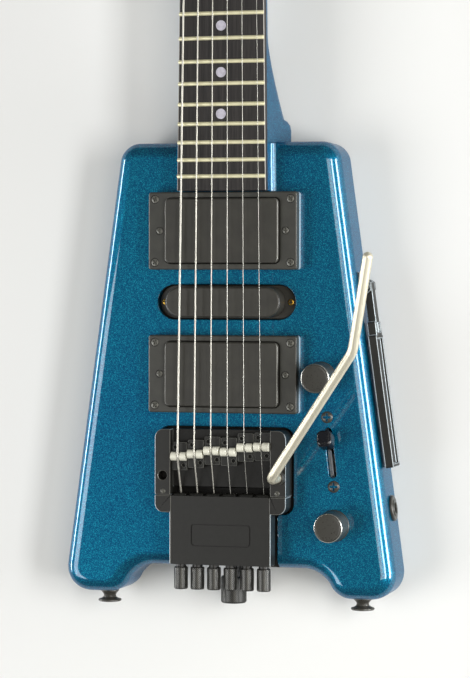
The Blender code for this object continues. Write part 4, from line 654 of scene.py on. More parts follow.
carve(body, cuts)
body.data.materials.append(shielding_paint_and_painted_shade)
for polygon in body.data.polygons:
    x, y, z = polygon.center
    inside = z < FACE - 0.0009 and z > 0.0025 and abs(x) < 0.0405 and -0.06 < y < 0.152
    wall = abs(polygon.normal.z) < 0.5 and abs(x) > 0.0313 and y < 0.0146
    if inside and not wall:
        polygon.material_index = 1
hand_over(body, "lacquered_body", "guitar", ("neck_core", "bass_wing", "treble_wing"))

# %% [markdown]
# The fingerboard is a plank whose top is a slice of a cylinder 356 mm in radius, so that it
# follows the fingers. A grid is stretched to the taper, extruded upwards, and its top is then
# lowered towards both edges by the height that such a circle falls.

# %% Fingerboard
board_low, board_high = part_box("fingerboard")
FRET_RISE = 0.001
BOARD_TOP = board_high.z - FRET_RISE
BOARD_RADIUS = 0.356


def crown_fall(x):
    """How far the board's top has dropped at a distance from its centre line."""
    return BOARD_RADIUS - math.sqrt(BOARD_RADIUS ** 2 - x ** 2)


board_bm = bmesh.new()
bmesh.ops.create_grid(board_bm, x_segments=16, y_segments=1, size=1.0)
for vert in board_bm.verts:
    y = board_low.y if vert.co.y < 0 else board_high.y
    vert.co = (vert.co.x * board_half(y), y, board_low.z)
grown = bmesh.ops.extrude_face_region(board_bm, geom=board_bm.faces[:], use_keep_orig=True)
for item in grown["geom"]:
    if isinstance(item, bmesh.types.BMVert):
        item.co.z = BOARD_TOP - crown_fall(item.co.x)
bmesh.ops.recalc_face_normals(board_bm, faces=board_bm.faces)
rim = [edge for edge in board_bm.edges
       if edge.calc_face_angle(0) > 0.8 and min(v.co.z for v in edge.verts) > board_low.z + 0.002]
bevel(board_bm, rim, 0.0005, 3)
board = solid(board_bm, board_wood)
# The upward-facing side bevels of the board take the painted highlight.
refinish(board, board_edge_highlight, lambda spot, way: abs(way.x) > 0.25 and way.z > 0.2)
hand_over(board, "fingerboard_plank", "guitar", ("fingerboard",))

# %% [markdown]
# A fret is a length of drawn wire with a half round crown, 2.4 mm wide and 1 mm high, bent to
# the board's radius and pressed in. A flat ring of vertices in the shape of the crown is spun
# about the axis of the board's cylinder, which bends it just as the real wire is bent. Each
# fret divides what is left of the scale by the twelfth root of two.

# %% Frets
FRET_HALF = 0.0012
FRETS = 24


def fret_wire(y):
    """One fret across the board at a place along it."""
    wire = bmesh.new()
    reach = math.asin((board_half(y) - 0.0001) / BOARD_RADIUS)
    ring = bmesh.ops.create_circle(wire, cap_ends=False, segments=14, radius=1.0)["verts"]
    for vert in ring:
        rise = FRET_RISE if vert.co.y > 0 else 0.0003
        vert.co = (0, y + FRET_HALF * vert.co.x, BOARD_TOP + rise * vert.co.y)
    axis_point = (0, y, BOARD_TOP - BOARD_RADIUS)
    bmesh.ops.rotate(wire, verts=ring, cent=axis_point, matrix=Matrix.Rotation(-reach, 3, "Y"))
    bmesh.ops.spin(wire, geom=wire.verts[:] + wire.edges[:], cent=axis_point, axis=(0, 1, 0),
                   dvec=(0, 0, 0), angle=2 * reach, steps=12, use_merge=False)
    bmesh.ops.holes_fill(wire, edges=[e for e in wire.edges if e.is_boundary], sides=0)
    bmesh.ops.recalc_face_normals(wire, faces=wire.faces)
    ends = [edge for edge in wire.edges if edge.calc_face_angle(0) > 1.2]
    bevel(wire, ends, 0.0003, 2, clamp=True)
    return wire


frets = gather([(fret_wire(SCALE / 2 ** (number / 12)), at(0, 0, 0))
                              for number in range(1, FRETS + 1)], fret_silver)
hand_over(frets, "fret_wires", "guitar", smooth=40, flat=False)

# %% [markdown]
# Plain round dots 6 mm across mark the odd frets and the octave. Each is a short turned disc
# that stands one tenth of a millimetre into the light, so that its rim catches a thin line.

# %% Inlaid dots
DOT_RADIUS = 0.003
MARKED = (3, 5, 7, 9, 15, 17, 19, 21)


def dot(x, y):
    top = BOARD_TOP - crown_fall(x)
    profile = [(0, -0.0003), (DOT_RADIUS, -0.0003), (DOT_RADIUS, 0.00004),
               (DOT_RADIUS - 0.00008, 0.0001), (0, 0.0001)]
    return lathe(profile, at(x, y, top), 36)


def between_frets(number):
    return SCALE * (2 ** (-number / 12) + 2 ** (-(number - 1) / 12)) / 2


dots = [(dot(0, between_frets(number)), at(0, 0, 0)) for number in MARKED]
for side in (-1, 1):
    dots.append((dot(side * 0.0115, between_frets(12)), at(0, 0, 0)))
hand_over(gather(dots, dot_plastic), "inlaid_dots", "guitar")

# %% [markdown]
# A string is a thin tube. Its path is a list of points: from the headpiece over the nut,
# straight to the saddle's roller, a short way round the roller and down into the jaw. A curve
# with a bevel makes the tube. The string crosses three joints, and a piece can bend across one
# only, so each string is made in four lengths that meet end to end: up to the tremolo's hinge,
# on over its sliding saddle, from there most of the way back, and on into its sliding jaw.

# %% Strings
STRING_H = 0.016
NUT_STRING_H = 0.0149
NUT_PITCH = 0.0070
GAUGES = {1: 0.00026, 2: 0.00033, 3: 0.00043, 4: 0.00066, 5: 0.00091, 6: 0.00117}
ROLLER_GROOVE = 0.0019
TUNER_H = FACE + 0.0082
JAW_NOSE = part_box("jaw_1")[1].y
HINGE_FRONT, HINGE_REAR = 0.024, 0.0055


def tube(points, radius, material, resolution=3, shares=None):
    """A closed tube along points, made by a curve with a round bevel and turned into a mesh."""
    curve = bpy.data.curves.new("tube", "CURVE")
    curve.dimensions = "3D"
    curve.bevel_depth = radius
    curve.bevel_resolution = resolution
    curve.use_fill_caps = True
    spline = curve.splines.new("POLY")
    spline.points.add(len(points) - 1)
    for index, point in enumerate(points):
        spline.points[index].co = (*point, 1)
        spline.points[index].radius = shares[index] if shares else 1.0
    holder = bpy.data.objects.new("tube", curve)
    bpy.context.scene.collection.objects.link(holder)
    graph = bpy.context.evaluated_depsgraph_get()
    mesh = bpy.data.meshes.new_from_object(holder.evaluated_get(graph))
    bpy.data.objects.remove(holder, do_unlink=True)
    bm = bmesh.new()
    bm.from_mesh(mesh)
    return solid(bm, material)


def nut_place(number):
    """How far a string lies from the centre line at the nut."""
    return (6 - number - 2.5) * NUT_PITCH


def string_lengths(number):
    """Four lists of points, from the headpiece to the jaw, that meet where the string rides one body."""
    saddle = middle(f"saddle_{number}")
    bend = ROLLER_GROOVE + GAUGES[number] / 2
    axle = Vector((saddle.x, saddle.y, FACE + STRING_H - bend))
    nut = Vector((nut_place(number), SCALE, FACE + NUT_STRING_H))
    first = Vector((saddle.x, saddle.y + 0.0002, FACE + STRING_H))
    front = [nut + Vector((0, 0.0143, 0)), nut]
    along = [0.40, 0.20, 0.08, 0.03] + [HINGE_FRONT - 0.002 * step for step in range(9)]
    for y in along + [HINGE_REAR - 0.0002]:
        front.append(nut + (first - nut) * (y - SCALE) / (first.y - SCALE))
    jaw = Vector((saddle.x, JAW_NOSE, TUNER_H))
    away = jaw - axle
    reach = math.sqrt(away.length ** 2 - bend ** 2)
    last = math.atan2(away.z, away.y) - math.atan2(reach, bend)
    over = [front[-1], front[-1].lerp(first, 0.5)]
    for step in range(7):
        angle = math.pi / 2 + ((last % (2 * math.pi)) - math.pi / 2) * step / 6
        over.append(axle + Vector((0, math.cos(angle), math.sin(angle))) * bend)
    nose = jaw + Vector((0, 0.0004, 0.0002))
    behind = [over[-1].lerp(nose, 0.7 * step / 6) for step in range(7)]
    tail = [behind[-1].lerp(nose, step / 4) for step in range(5)] + [jaw + Vector((0, -0.005, 0))]
    return front, over, behind, tail


hinge = [Vector((0, y, FACE)) for y in (HINGE_FRONT, HINGE_REAR)]
for number, gauge in GAUGES.items():
    metal = wound_steel if number > 3 else string_steel
    front, over, behind, tail = string_lengths(number)
    lengths = (("", front, "guitar", "carriage", *hinge),
               ("_over_saddle", over, "carriage", f"saddle_{number}", over[0], over[2]),
               ("_behind_saddle", behind, f"saddle_{number}", "carriage", behind[0], behind[-1]),
               ("_to_jaw", tail, "carriage", f"jaw_{number}", tail[0], tail[-2]))
    for suffix, points, near, far, start, end in lengths:
        name = f"drawn_string_{number}{suffix}"
        string = tube(points, gauge / 2, metal)
        replaced = () if suffix else (f"string_{number}",)
        hand_over(string, name, None, replaced, smooth=60, flat=False)
        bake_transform(string)
        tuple(start)
        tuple(end)

# %% [markdown]
# Screws hold everything down. One helper turns a head on the lathe and cuts a cross into it,
# and another gives a headless screw with a hexagon socket. They are made once as patterns, and
# a third helper copies them to their places. The recesses are painted dark, as painted shade.

# %% Screw patterns
def template(piece):
    """Takes an object's mesh back into a bmesh, to be copied."""
    bm = bmesh.new()
    bm.from_mesh(piece.data)
    bpy.data.objects.remove(piece, do_unlink=True)
    return bm


def cross_screw(radius, dome, sink=0.0012):
    """A domed head on Z = 0 with a cross recess."""
    profile = [(0, -sink), (radius * 0.8, -sink), (radius, -0.0001), (radius * 0.985, dome * 0.2),
               (radius * 0.86, dome * 0.58), (radius * 0.55, dome * 0.9), (0, dome)]
    head = solid(lathe(profile, steps=24))
    arms = []
    for turn in (0, math.pi / 2):
        arm = plate(rectangle(radius * 0.20, -radius * 0.72, radius * 0.72, radius * 0.1),
                    dome - radius * 0.55, dome + 0.001, 0, 2)
        bmesh.ops.rotate(arm, verts=arm.verts, cent=(0, 0, 0), matrix=Matrix.Rotation(turn, 3, "Z"))
        arms.append(arm)
    carve(head, arms)
    # The cross recess is painted dark: painted shade.
    refinish(head, shielding_paint_and_painted_shade, lambda spot, way: spot.xy.length < radius * 0.76
             and -sink + 1e-5 < spot.z < dome - radius * 0.2)
    return template(head)


def socket_screw(radius, length):
    """A headless screw whose top is at Z = 0, with a hexagon socket."""
    chamfer = 0.0003
    profile = [(0, -length), (radius, -length), (radius, -chamfer), (radius - chamfer, 0), (0, 0)]
    screw = solid(lathe(profile, steps=24))
    key = radius * 0.56
    carve(screw, [rod(key, -length * 0.5, 0.001, Matrix(), 6)])
    # The hexagon socket is painted dark: painted shade.
    refinish(screw, shielding_paint_and_painted_shade, lambda spot, way: spot.xy.length < key * 1.02
             and -length + 1e-5 < spot.z < -0.0002)
    return template(screw)


def fasten(name, body, copies, finish=screw_black, smooth=30):
    """Hands over copies of screw patterns, each (pattern, place), as one piece."""
    hand_over(gather(copies, finish, shielding_paint_and_painted_shade), name, body, smooth=smooth)


ring_screw = cross_screw(0.0022, 0.0003, 0.0014)
height_screw = cross_screw(0.0019, 0.0004, 0.0014)
print("faces of a screw head:", len(ring_screw.faces))

# %% [markdown]
# A full size pickup is a coil pair under a plain moulded cover. It hangs in a ring that is
# screwed to the face. The ring is a plate with a window, its top edge rounded as moulded parts
# are. Four cross-head screws sit in countersunk holes at its corners, and two more through its
# short sides set the pickup's height.

# %% Full size pickups
COVER_HALF = 0.0345
COVER_GAP = 0.0004
CORNER_X, CORNER_Y = 0.0412, 0.0186
HEIGHT_SCREW_X = 0.0383


def sink(x, y, top, radius, depth):
    """A countersunk hole down from a surface."""
    return lathe([(0, -depth), (radius * 0.5, -depth), (radius, 0), (radius, 0.004), (0, 0.004)],
                 at(x, y, top), 24)


for label in ("neck", "bridge"):
    ring_low, ring_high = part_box(f"{label}_pickup_ring")
    low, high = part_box(f"{label}_pickup")
    y = PICKUP_Y[label]
    top = ring_high.z
    # The ring is split at this height so that the wall below can carry a painted reflection.
    reflection_band_z = FACE + 0.4 * (top - FACE)
    ring_bm = plate(rectangle(ring_high.x, ring_low.y, ring_high.y, 0.0015), ring_low.z, top, 0.0009, 6, 4)
    bmesh.ops.bisect_plane(ring_bm, geom=ring_bm.verts[:] + ring_bm.edges[:] + ring_bm.faces[:],
                           plane_co=(0, 0, reflection_band_z), plane_no=(0, 0, 1))
    ring = solid(ring_bm, ring_plastic)
    gap_y = high.y - y + COVER_GAP
    holes = [cutter(rectangle(COVER_HALF + COVER_GAP, y - gap_y, y + gap_y, 0.0034), 0.030, 0.0004, 8, top)]
    corners = [(side * CORNER_X, y + end * CORNER_Y) for side in (-1, 1) for end in (-1, 1)]
    holes += [sink(*corner, top, 0.0026, 0.0014) for corner in corners]
    holes += [hole(side * HEIGHT_SCREW_X, y, top - 0.0012, 0.06, 0.0023, 24) for side in (-1, 1)]
    carve(ring, holes)
    rim_x = ring_high.x - 0.0011
    # The walls of the screw holes are painted dark: painted shade.
    refinish(ring, shielding_paint_and_painted_shade, lambda spot, way: way.z < 0.9 and spot.z < top - 0.0001
             and HEIGHT_SCREW_X - 0.0024 < abs(spot.x) < CORNER_X + 0.0026)
    # The ring's left top rim gets the dim painted highlight.
    refinish(ring, painted_dim_highlight, lambda spot, way: spot.x < -rim_x and way.x < -0.3 and way.z > 0.3)
    # The lower part of the ring's right wall gets the painted reflection.
    refinish(ring, painted_foot_reflection, lambda spot, way: spot.x > rim_x and way.x > 0.5 and spot.z < reflection_band_z)
    hand_over(ring, f"{label}_pickup_surround", "guitar", (f"{label}_pickup_ring",))

    cover = solid(plate(rectangle(COVER_HALF, low.y, high.y, 0.003), low.z, high.z, 0.0010, 8, 5),
                  cover_plastic)
    tab = solid(plate(rectangle(high.x, y - 0.008, y + 0.008, 0.003), low.z + 0.001, low.z + 0.003),
                cover_plastic)
    boolean(cover, [tab], "UNION")
    # The cover's left and right rims get the dim painted highlight.
    refinish(cover, painted_dim_highlight, lambda spot, way: 0.4 < abs(way.x) < 0.85 and 0.3 < way.z < 0.95)
    hand_over(cover, f"{label}_pickup_cover", "guitar", (f"{label}_pickup",))

    screws = [(ring_screw, at(*corner, top - 0.0003) @ Matrix.Rotation(0.7 + 0.5 * index, 4, "Z"))
              for index, corner in enumerate(corners)]
    screws += [(height_screw, at(side * HEIGHT_SCREW_X, y, top - 0.0001)) for side in (-1, 1)]
    fasten(f"{label}_pickup_screws", "guitar", screws)

# %% [markdown]
# The middle pickup is a slim single coil under an oval cover, screwed straight to the floor of
# its own oval pocket. The pocket is a little longer than the cover, so at each end its screw
# shows down in the dark gap.

# %% Middle pickup
low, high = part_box("middle_pickup")
y = PICKUP_Y["middle"]
TAB_TOP = FACE - 0.0035
cover = solid(plate(stadium(0.070, 0.018, y), low.z, high.z, 0.0014, 16, 6), cover_plastic)
tab = solid(plate(stadium(0.0832, 0.0198, y), low.z + 0.001, TAB_TOP, 0.0004, 16, 3), ring_plastic)
boolean(cover, [tab], "UNION")
hand_over(cover, "middle_pickup_cover", "guitar", ("middle_pickup",))
screws = [(height_screw, at(side * 0.0385, y, TAB_TOP + 0.0004)) for side in (-1, 1)]
fasten("middle_pickup_screws", "guitar", screws, brass)

# %% [markdown]
# The headpiece clamps the plain ends of the strings. Its side view is a five-cornered outline
# with rounded corners, drawn in the Y-Z plane and extruded across the neck. Six slots take the
# strings, and in each a headless screw presses down on its string.

# %% Headpiece
ACROSS = Matrix(((0, 0, 1, 0), (1, 0, 0, 0), (0, 1, 0, 0), (0, 0, 0, 1)))


def across(bm):
    """Stands a plate up: its outline goes into the Y-Z plane and its heights along X."""
    bmesh.ops.transform(bm, matrix=ACROSS, verts=bm.verts)
    return bm


low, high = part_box("headpiece")
head_bm = plate([(low.y, low.z, 0.001), (high.y, low.z, 0.004), (high.y, high.z - 0.006, 0.004),
                 (high.y - 0.009, high.z, 0.004), (low.y, high.z, 0.001)],
                low.x, high.x, 0.001, 8, 3, both=True)
head = solid(across(head_bm), casting_black)
CLAMP_Y = low.y + 0.0062
STRING_Z = FACE + NUT_STRING_H
holes = [plate(rectangle(0.0153, low.y - PAST, low.y + 0.0130, 0.0005), FACE - 0.0043, FACE + 0.0043)]
clamps = []
clamp_screw = socket_screw(0.0019, 0.0030)
for number, gauge in GAUGES.items():
    x = nut_place(number)
    half = gauge / 2 + 0.0003
    slot = rectangle(half, low.y - PAST, low.y + 0.012, 0.0, x)
    holes.append(plate(slot, STRING_Z - half, high.z + PAST))
    holes.append(hole(x, CLAMP_Y, STRING_Z, high.z + PAST, 0.0020, 24))
    clamps.append((clamp_screw, at(x, CLAMP_Y, high.z - 0.0004)))
carve(head, holes)
hand_over(head, "headpiece_block", "guitar", ("headpiece",))
fasten("headpiece_screws", "guitar", clamps)

# %% [markdown]
# The tremolo is a small machine. Its carriage is a zinc casting with two thick cheeks and a low
# bed between them, and it rocks on a shaft that runs through both cheeks. Behind it the tail
# block holds the string jaws under a flat cover. All of it rides on the carriage body, so it
# tips as one when the arm is pushed. After the cuts, a narrow bevel on every sharp edge carries
# a thin bright painted highlight.

# %% Carriage casting
CARRIAGE_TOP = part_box("bridge_frame")[1].z
BED_HALF, BED_TOP, BED_THICK, BED_REAR = 0.0304, FACE + 0.008, 0.0022, -0.0205
CHEEK_X = BED_HALF + 0.0094 / 2
EAR_ROOM = 0.0058
SHAFT_WALL = 0.0015
PIVOT = middle("pivot_shaft")
ARM_Y = middle("arm_collar").y


def ease_edges(piece, width, finish, angle=40):
    """Puts a narrow bevel, in a finish of its own, on every edge sharper than an angle: a painted edge
    highlight.
    """
    piece.data.materials.append(finish)
    step = piece.modifiers.new("eased edges", "BEVEL")
    step.material = len(piece.data.materials) - 1
    step.width = width
    step.segments = 2
    step.limit_method = "ANGLE"
    step.angle_limit = math.radians(angle)
    step.harden_normals = False
    step.use_clamp_overlap = False
    settle(piece)


low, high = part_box("bridge_frame")
casting = solid(plate(twin([(high.x, low.y, 0), (high.x, high.y, 0.005)]), low.z, high.z, 0, 12),
                casting_black)
spaces = [plate(rectangle(BED_HALF, low.y - PAST, end_y, 0), bottom, top) for end_y, bottom, top in (
    (high.y + PAST, BED_TOP, high.z + PAST),
    (high.y - BED_THICK, low.z - PAST, BED_TOP - BED_THICK),
    (BED_REAR, low.z - PAST / 2, high.z + 2 * PAST))]
for side in (-1, 1):
    ear = rectangle(0.0021, PIVOT.y - EAR_ROOM, PIVOT.y + EAR_ROOM, 0, side * CHEEK_X)
    spaces.append(plate(ear, low.z - PAST, PIVOT.z + EAR_ROOM))
spaces.append(rod(0.0028, SHAFT_WALL - high.x, high.x - SHAFT_WALL, towards(PIVOT, (1, 0, 0))))
spaces.append(hole(CHEEK_X, ARM_Y, low.z - PAST, high.z + PAST, 0.0040))
carve(casting, spaces)
# Every sharp edge of the casting gets the bright painted highlight.
ease_edges(casting, 0.00032, painted_edge_highlight)
SPARE, SPARE_RIM = Vector((-CHEEK_X, ARM_Y)), 0.0031
socket_profile = [(0, -0.009), (0.0027, -0.009), (0.0027, -0.0005), (SPARE_RIM, 0), (SPARE_RIM, 0.003),
                  (0, 0.003)]
side_screws = [(x, -0.0233) for x in (-0.0347, 0.0347)]
carve(casting, [lathe(socket_profile, at(*SPARE, high.z))]
      + [sink(*spot, high.z, 0.0015, 0.0008) for spot in side_screws])
# Tilted faces of the casting's inner edges get the dim painted highlight.
refinish(casting, painted_dim_highlight, lambda spot, way: 0.1 < way.z < 0.98
         and (abs(spot.x) < high.x - 0.0012 or abs(way.x) < 0.2))
# The bed between the cheeks is painted darker than the casting: painted shade.
refinish(casting, bed_black_painted_shade, lambda spot, way: abs(spot.x) < BED_HALF - 0.0001
         and spot.z < BED_TOP + 0.0001)
# The spare socket's rim gets the dim painted highlight.
refinish(casting, painted_dim_highlight, lambda spot, way: (spot.xy - SPARE).length < SPARE_RIM + 0.0001
         and 0.2 < way.z < 0.95)
hand_over(casting, "carriage_casting", "carriage", ("bridge_frame",))
small_screw = cross_screw(0.00125, 0.0003, 0.0006)
fasten("carriage_screws", "carriage", [(small_screw, at(*spot, high.z - 0.0003)) for spot in side_screws])

# %% [markdown]
# The tail block is open from the front: six channels for the jaws, a wall behind them with six
# holes for the tuning screws, and a rounded lobe at either side that continues the cheeks. A
# flat cover lies in a rebate over the channels. A shallow groove draws a rounded panel on it.

# %% Tail block and its cover
low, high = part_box("tail_block")
TAIL_HALF = 0.03075
LOBE_REAR = high.y - 0.010
THREAD_BORE = 0.0018
tail = solid(plate(rectangle(TAIL_HALF, low.y, high.y, 0.0004), FACE + 0.003, high.z), casting_black)
lobes = []
for side in (-1, 1):
    corners = [(side * (TAIL_HALF - 0.001), LOBE_REAR, 0), (side * high.x, LOBE_REAR, 0.005),
               (side * high.x, high.y, 0), (side * (TAIL_HALF - 0.001), high.y, 0)]
    lobes.append(solid(plate(corners, low.z, high.z, 0, 12), casting_black))
boolean(tail, lobes, "UNION")
COVER_LOW = high.z - 0.0023
COVER_EDGE_X = TAIL_HALF - 0.0009
spaces = [plate(rectangle(COVER_EDGE_X, low.y - PAST, high.y + PAST, 0), COVER_LOW, high.z + PAST)]
for number in GAUGES:
    x = middle(f"jaw_{number}").x
    channel = rectangle(0.0041, low.y + 0.0047, high.y + PAST, 0, x)
    spaces.append(plate(channel, FACE + 0.0046, high.z + 2 * PAST))
    spaces.append(rod(THREAD_BORE, 0, 0.03, towards((x, low.y - PAST, TUNER_H), (0, 1, 0)), 24))
carve(tail, spaces)
# The tail's sharp edges get the bright painted highlight.
ease_edges(tail, 0.00035, painted_edge_highlight)
# Faces along Y and the inner faces of the tail get the dim grey painted highlight.
refinish(tail, painted_dim_highlight, lambda spot, way: abs(way.x) < 0.2 and abs(way.y) > 0.1
         or abs(spot.x) < TAIL_HALF - 0.0006)
hand_over(tail, "tail_casting", "carriage", ("tail_block",))

low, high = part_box("tail_cover")
cover = solid(plate(rectangle(high.x, low.y, high.y, 0.0005), low.z, high.z, 0.0003, 4, 2), casting_black)
PANEL_X, PANEL_Y = 0.0005, -0.0486
outer, inner = [plate(rectangle(half_x, PANEL_Y - half_y, PANEL_Y + half_y, radius, PANEL_X), bottom, top)
                for half_x, half_y, radius, bottom, top in (
                    (0.0181, 0.0066, 0.0022, high.z - 0.0005, high.z + PAST),
                    (0.0174, 0.0059, 0.0017, high.z - 0.001, high.z + 2 * PAST))]
groove = carve(solid(outer), [inner])
boolean(cover, [groove], "DIFFERENCE")
# The groove is painted dark: painted shade.
refinish(cover, shielding_paint_and_painted_shade, lambda spot, way: abs(spot.x) < 0.02
         and high.z - 0.0006 < spot.z < high.z - 0.0001)
hand_over(cover, "tail_cover_plate", "carriage", ("tail_cover",))

# %% [markdown]
# Six saddles stand on the bed, one for each string, each set where its string plays in tune.
# The string runs in the groove of a pale steel roller that turns in a round seat across the
# block, so that nothing rubs when the carriage rocks. Two headless screws fix a saddle.

# %% Saddles and rollers
SADDLE_TOP = FACE + 0.012
ROLLER, ROLLER_WAIST = 0.0026, 0.0018
ROLLER_HALF, GROOVE_HALF, CHAMFER = 0.00455, 0.0009, 0.0001
grub = socket_screw(0.0010, 0.0016)
half_profile = [(ROLLER_WAIST, GROOVE_HALF * 0.6), (ROLLER - CHAMFER, GROOVE_HALF),
                (ROLLER, GROOVE_HALF + CHAMFER), (ROLLER, ROLLER_HALF - CHAMFER),
                (ROLLER - CHAMFER, ROLLER_HALF), (0, ROLLER_HALF)]
roller_profile = [(radius, -x) for radius, x in reversed(half_profile)] + half_profile
for number in GAUGES:
    low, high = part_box(f"saddle_{number}")
    centre = (low + high) / 2
    axle = towards((centre.x, centre.y, high.z - ROLLER), (1, 0, 0))
    block = solid(plate(rectangle(0.00475, low.y, high.y, 0.0007, centre.x), low.z, SADDLE_TOP),
                  casting_black)
    grubs = [(centre.x - 0.0026, high.y - 0.0030), (centre.x + 0.0026, low.y + 0.0030)]
    carve(block, [rod(ROLLER + 0.0002, -0.006, 0.006, axle)]
          + [hole(x, y, SADDLE_TOP - 0.003, SADDLE_TOP + PAST, 0.00115, 20) for x, y in grubs])
    # The saddle block's edges get the dim painted highlight.
    ease_edges(block, 0.0002, painted_dim_highlight)
    hand_over(block, f"saddle_block_{number}", f"saddle_{number}", (f"saddle_{number}",))
    roller = solid(lathe(roller_profile, axle, 40), roller_steel)
    hand_over(roller, f"saddle_roller_{number}", f"saddle_{number}")
    screws = [(grub, at(x, y, SADDLE_TOP - 0.0003)) for x, y in grubs]
    fasten(f"saddle_screws_{number}", f"saddle_{number}", screws, bed_black_painted_shade)

# %% [markdown]
# Behind each saddle a jaw grips the string's ball end, and a thumbscrew at the tail pulls the
# jaw back to tune the string. The thumbscrews are knurled, which means that a wheel has rolled
# a pattern of small diamonds into them. Here the turned cylinder gets one column of vertices
# for each half diamond, and every other vertex, as on a chessboard, is lifted. A vertex bevel
# then flattens each point and gives it a painted highlight.

# %% Jaws and tuners
def knurled(radius, length, columns, rows, rise, rim):
    """A turned grip from Z = 0 up, with a diamond pattern on its side and its points flattened, in a second
    finish for a painted highlight.
    """
    low_radius = radius - rise
    start, stop = rim, length - rim
    profile = [(0, 0), (low_radius - rim, 0)]
    profile += [(low_radius, start + (stop - start) * row / rows) for row in range(rows + 1)]
    profile += [(low_radius - rim, length), (0, length)]
    bm = lathe(profile, steps=columns)
    points = []
    for vert in bm.verts:
        reach = vert.co.xy.length
        row = round((vert.co.z - start) / (stop - start) * rows)
        column = round(math.atan2(vert.co.y, vert.co.x) / (2 * math.pi) * columns)
        if reach > low_radius - rim / 2 and 0 < row < rows and (row + column) % 2 == 0:
            vert.co.xy = vert.co.xy * (radius / reach)
            points.append(vert)
    # The flattened points take the second finish, a painted highlight.
    bevel(bm, points, (stop - start) / rows * 0.42, 1, "VERTICES", 1)
    return bm


def thumbscrew(grip, shank, steps, place, points):
    """A knurled grip and its turned shank as one solid, with a painted highlight finish for the knurl's
    points.
    """
    made = gather([(grip, place)], knurl_black, points)
    rear = gather([(lathe(shank, steps=steps), place)], knurl_black)
    return boolean(made, [rear], "UNION")


TUNER_GRIP, TUNER_ROD, TUNER_COLLAR = 0.0132, 0.0015, 0.003
for number in GAUGES:
    low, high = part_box(f"jaw_{number}")
    x = (low.x + high.x) / 2
    jaw_bm = plate([(low.y, low.z, 0.0004), (high.y, low.z, 0.0014), (high.y, high.z, 0.0014),
                    (low.y, high.z, 0.0004)], low.x, high.x, 0.0004, 6, 3, both=True)
    jaw = solid(across(jaw_bm), casting_black)
    from_front = towards((x, high.y + 0.001, TUNER_H), (0, -1, 0))
    from_rear = towards((x, low.y - PAST, TUNER_H), (0, 1, 0))
    carve(jaw, [rod(GAUGES[number] / 2 + 0.0005, 0, 0.007, from_front, 20),
                rod(THREAD_BORE, 0, 0.024, from_rear, 24)])
    hand_over(jaw, f"string_jaw_{number}", f"jaw_{number}", (f"jaw_{number}",))

    low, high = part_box(f"tuner_{number}")
    start, stop, end = TUNER_GRIP - 0.0002, TUNER_GRIP + 0.0015, high.y - low.y
    shank = [(0, start), (TUNER_COLLAR, start), (TUNER_COLLAR, stop), (TUNER_ROD, stop), (TUNER_ROD, end),
             (0, end)]
    tuner = thumbscrew(knurled(0.0042, TUNER_GRIP, 44, 24, 0.00030, 0.0003), shank, 24,
                       towards((x, low.y, TUNER_H), (0, 1, 0)), painted_knurl_highlight)
    hand_over(tuner, f"knurled_tuner_{number}", f"tuner_{number}", (f"tuner_{number}",),
              smooth=12, flat=False)

# %% [markdown]
# A compression spring under the bed balances the pull of the strings. A threaded rod with a
# wide thumb knob at the tail moves the nut that the spring leans on. The spring is one long
# helix of wire, closed up for its first and last turn as real springs are. It shortens
# between its sliding seat and the carriage, and it is made as a rear half and a front half
# that meet in the middle.

# %% Spring and its knob
low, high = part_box("spring_knob")
end = high.y - low.y
shank = [(0, 0.0155), (0.005, 0.0155), (0.005, 0.0227), (0.003, 0.0227), (0.003, end), (0, end)]
# The knurl points of the spring knob get the dim painted highlight.
knob = thumbscrew(knurled(0.00775, 0.016, 80, 28, 0.00024, 0.0006), shank, 32,
                  towards((0, low.y, SPRING_Z), (0, 1, 0)), painted_dim_highlight)
hand_over(knob, "spring_thumb_knob", "spring_knob", ("spring_knob",),
          smooth=12, flat=False)

WIRE = 0.001
COIL = 0.007
TURNS = 9
low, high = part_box("tremolo_spring")
spring_start, spring_end = high.y - WIRE, low.y + WIRE
closed = 2 * WIRE * 1.25
free = spring_start - spring_end - 2 * closed
helix = []
for step in range(TURNS * 24 + 1):
    turns = step / 24
    travel = closed * min(turns, 1) + closed * max(turns - TURNS + 1, 0)
    travel += free * min(max((turns - 1) / (TURNS - 2), 0), 1)
    angle = 2 * math.pi * turns
    helix.append((COIL * math.cos(angle), spring_start - travel, SPRING_Z + COIL * math.sin(angle)))
half_way = len(helix) // 2
front_end, meeting, rear_end = [Vector((0, y, SPRING_Z))
                                for y in (spring_start, helix[half_way][1], spring_end)]
halves = (("front", helix[:half_way + 1], ("tremolo_spring",), "guitar", "carriage", meeting, front_end),
          ("rear", helix[half_way:], (), "spring_seat", "guitar", rear_end, meeting))
for end_name, points, replaced, near, far, start, end in halves:
    name = f"coil_spring_{end_name}"
    spring = tube(points, WIRE, plated_steel)
    hand_over(spring, name, None, replaced, smooth=60, flat=False)
    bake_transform(spring)
    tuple(start)
    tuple(end)

# %% [markdown]
# The tremolo arm is one steel rod 5.8 mm thick, bent twice and plated satin nickel, with a
# rounded tip. Its path is four points whose inner corners become arcs, and near the tip the
# tube's radius follows a quarter circle, which closes it with a round end.

# %% Tremolo arm
ARM_RADIUS = 0.0029


def rounded_path(points, radii, steps):
    """A path through points in space, with an arc of a given radius at each inner corner."""
    path = [Vector(points[0])]
    for index in range(1, len(points) - 1):
        here = Vector(points[index])
        back = (Vector(points[index - 1]) - here).normalized()
        ahead = (Vector(points[index + 1]) - here).normalized()
        radius = radii[index - 1]
        opening = back.angle(ahead)
        centre = here + (back + ahead).normalized() * (radius / math.sin(opening / 2))
        first = here + back * (radius / math.tan(opening / 2)) - centre
        last = here + ahead * (radius / math.tan(opening / 2)) - centre
        spin = first.cross(last).normalized()
        for step in range(steps + 1):
            path.append(centre + Matrix.Rotation(first.angle(last) * step / steps, 3, spin) @ first)
    return path + [Vector(points[-1])]


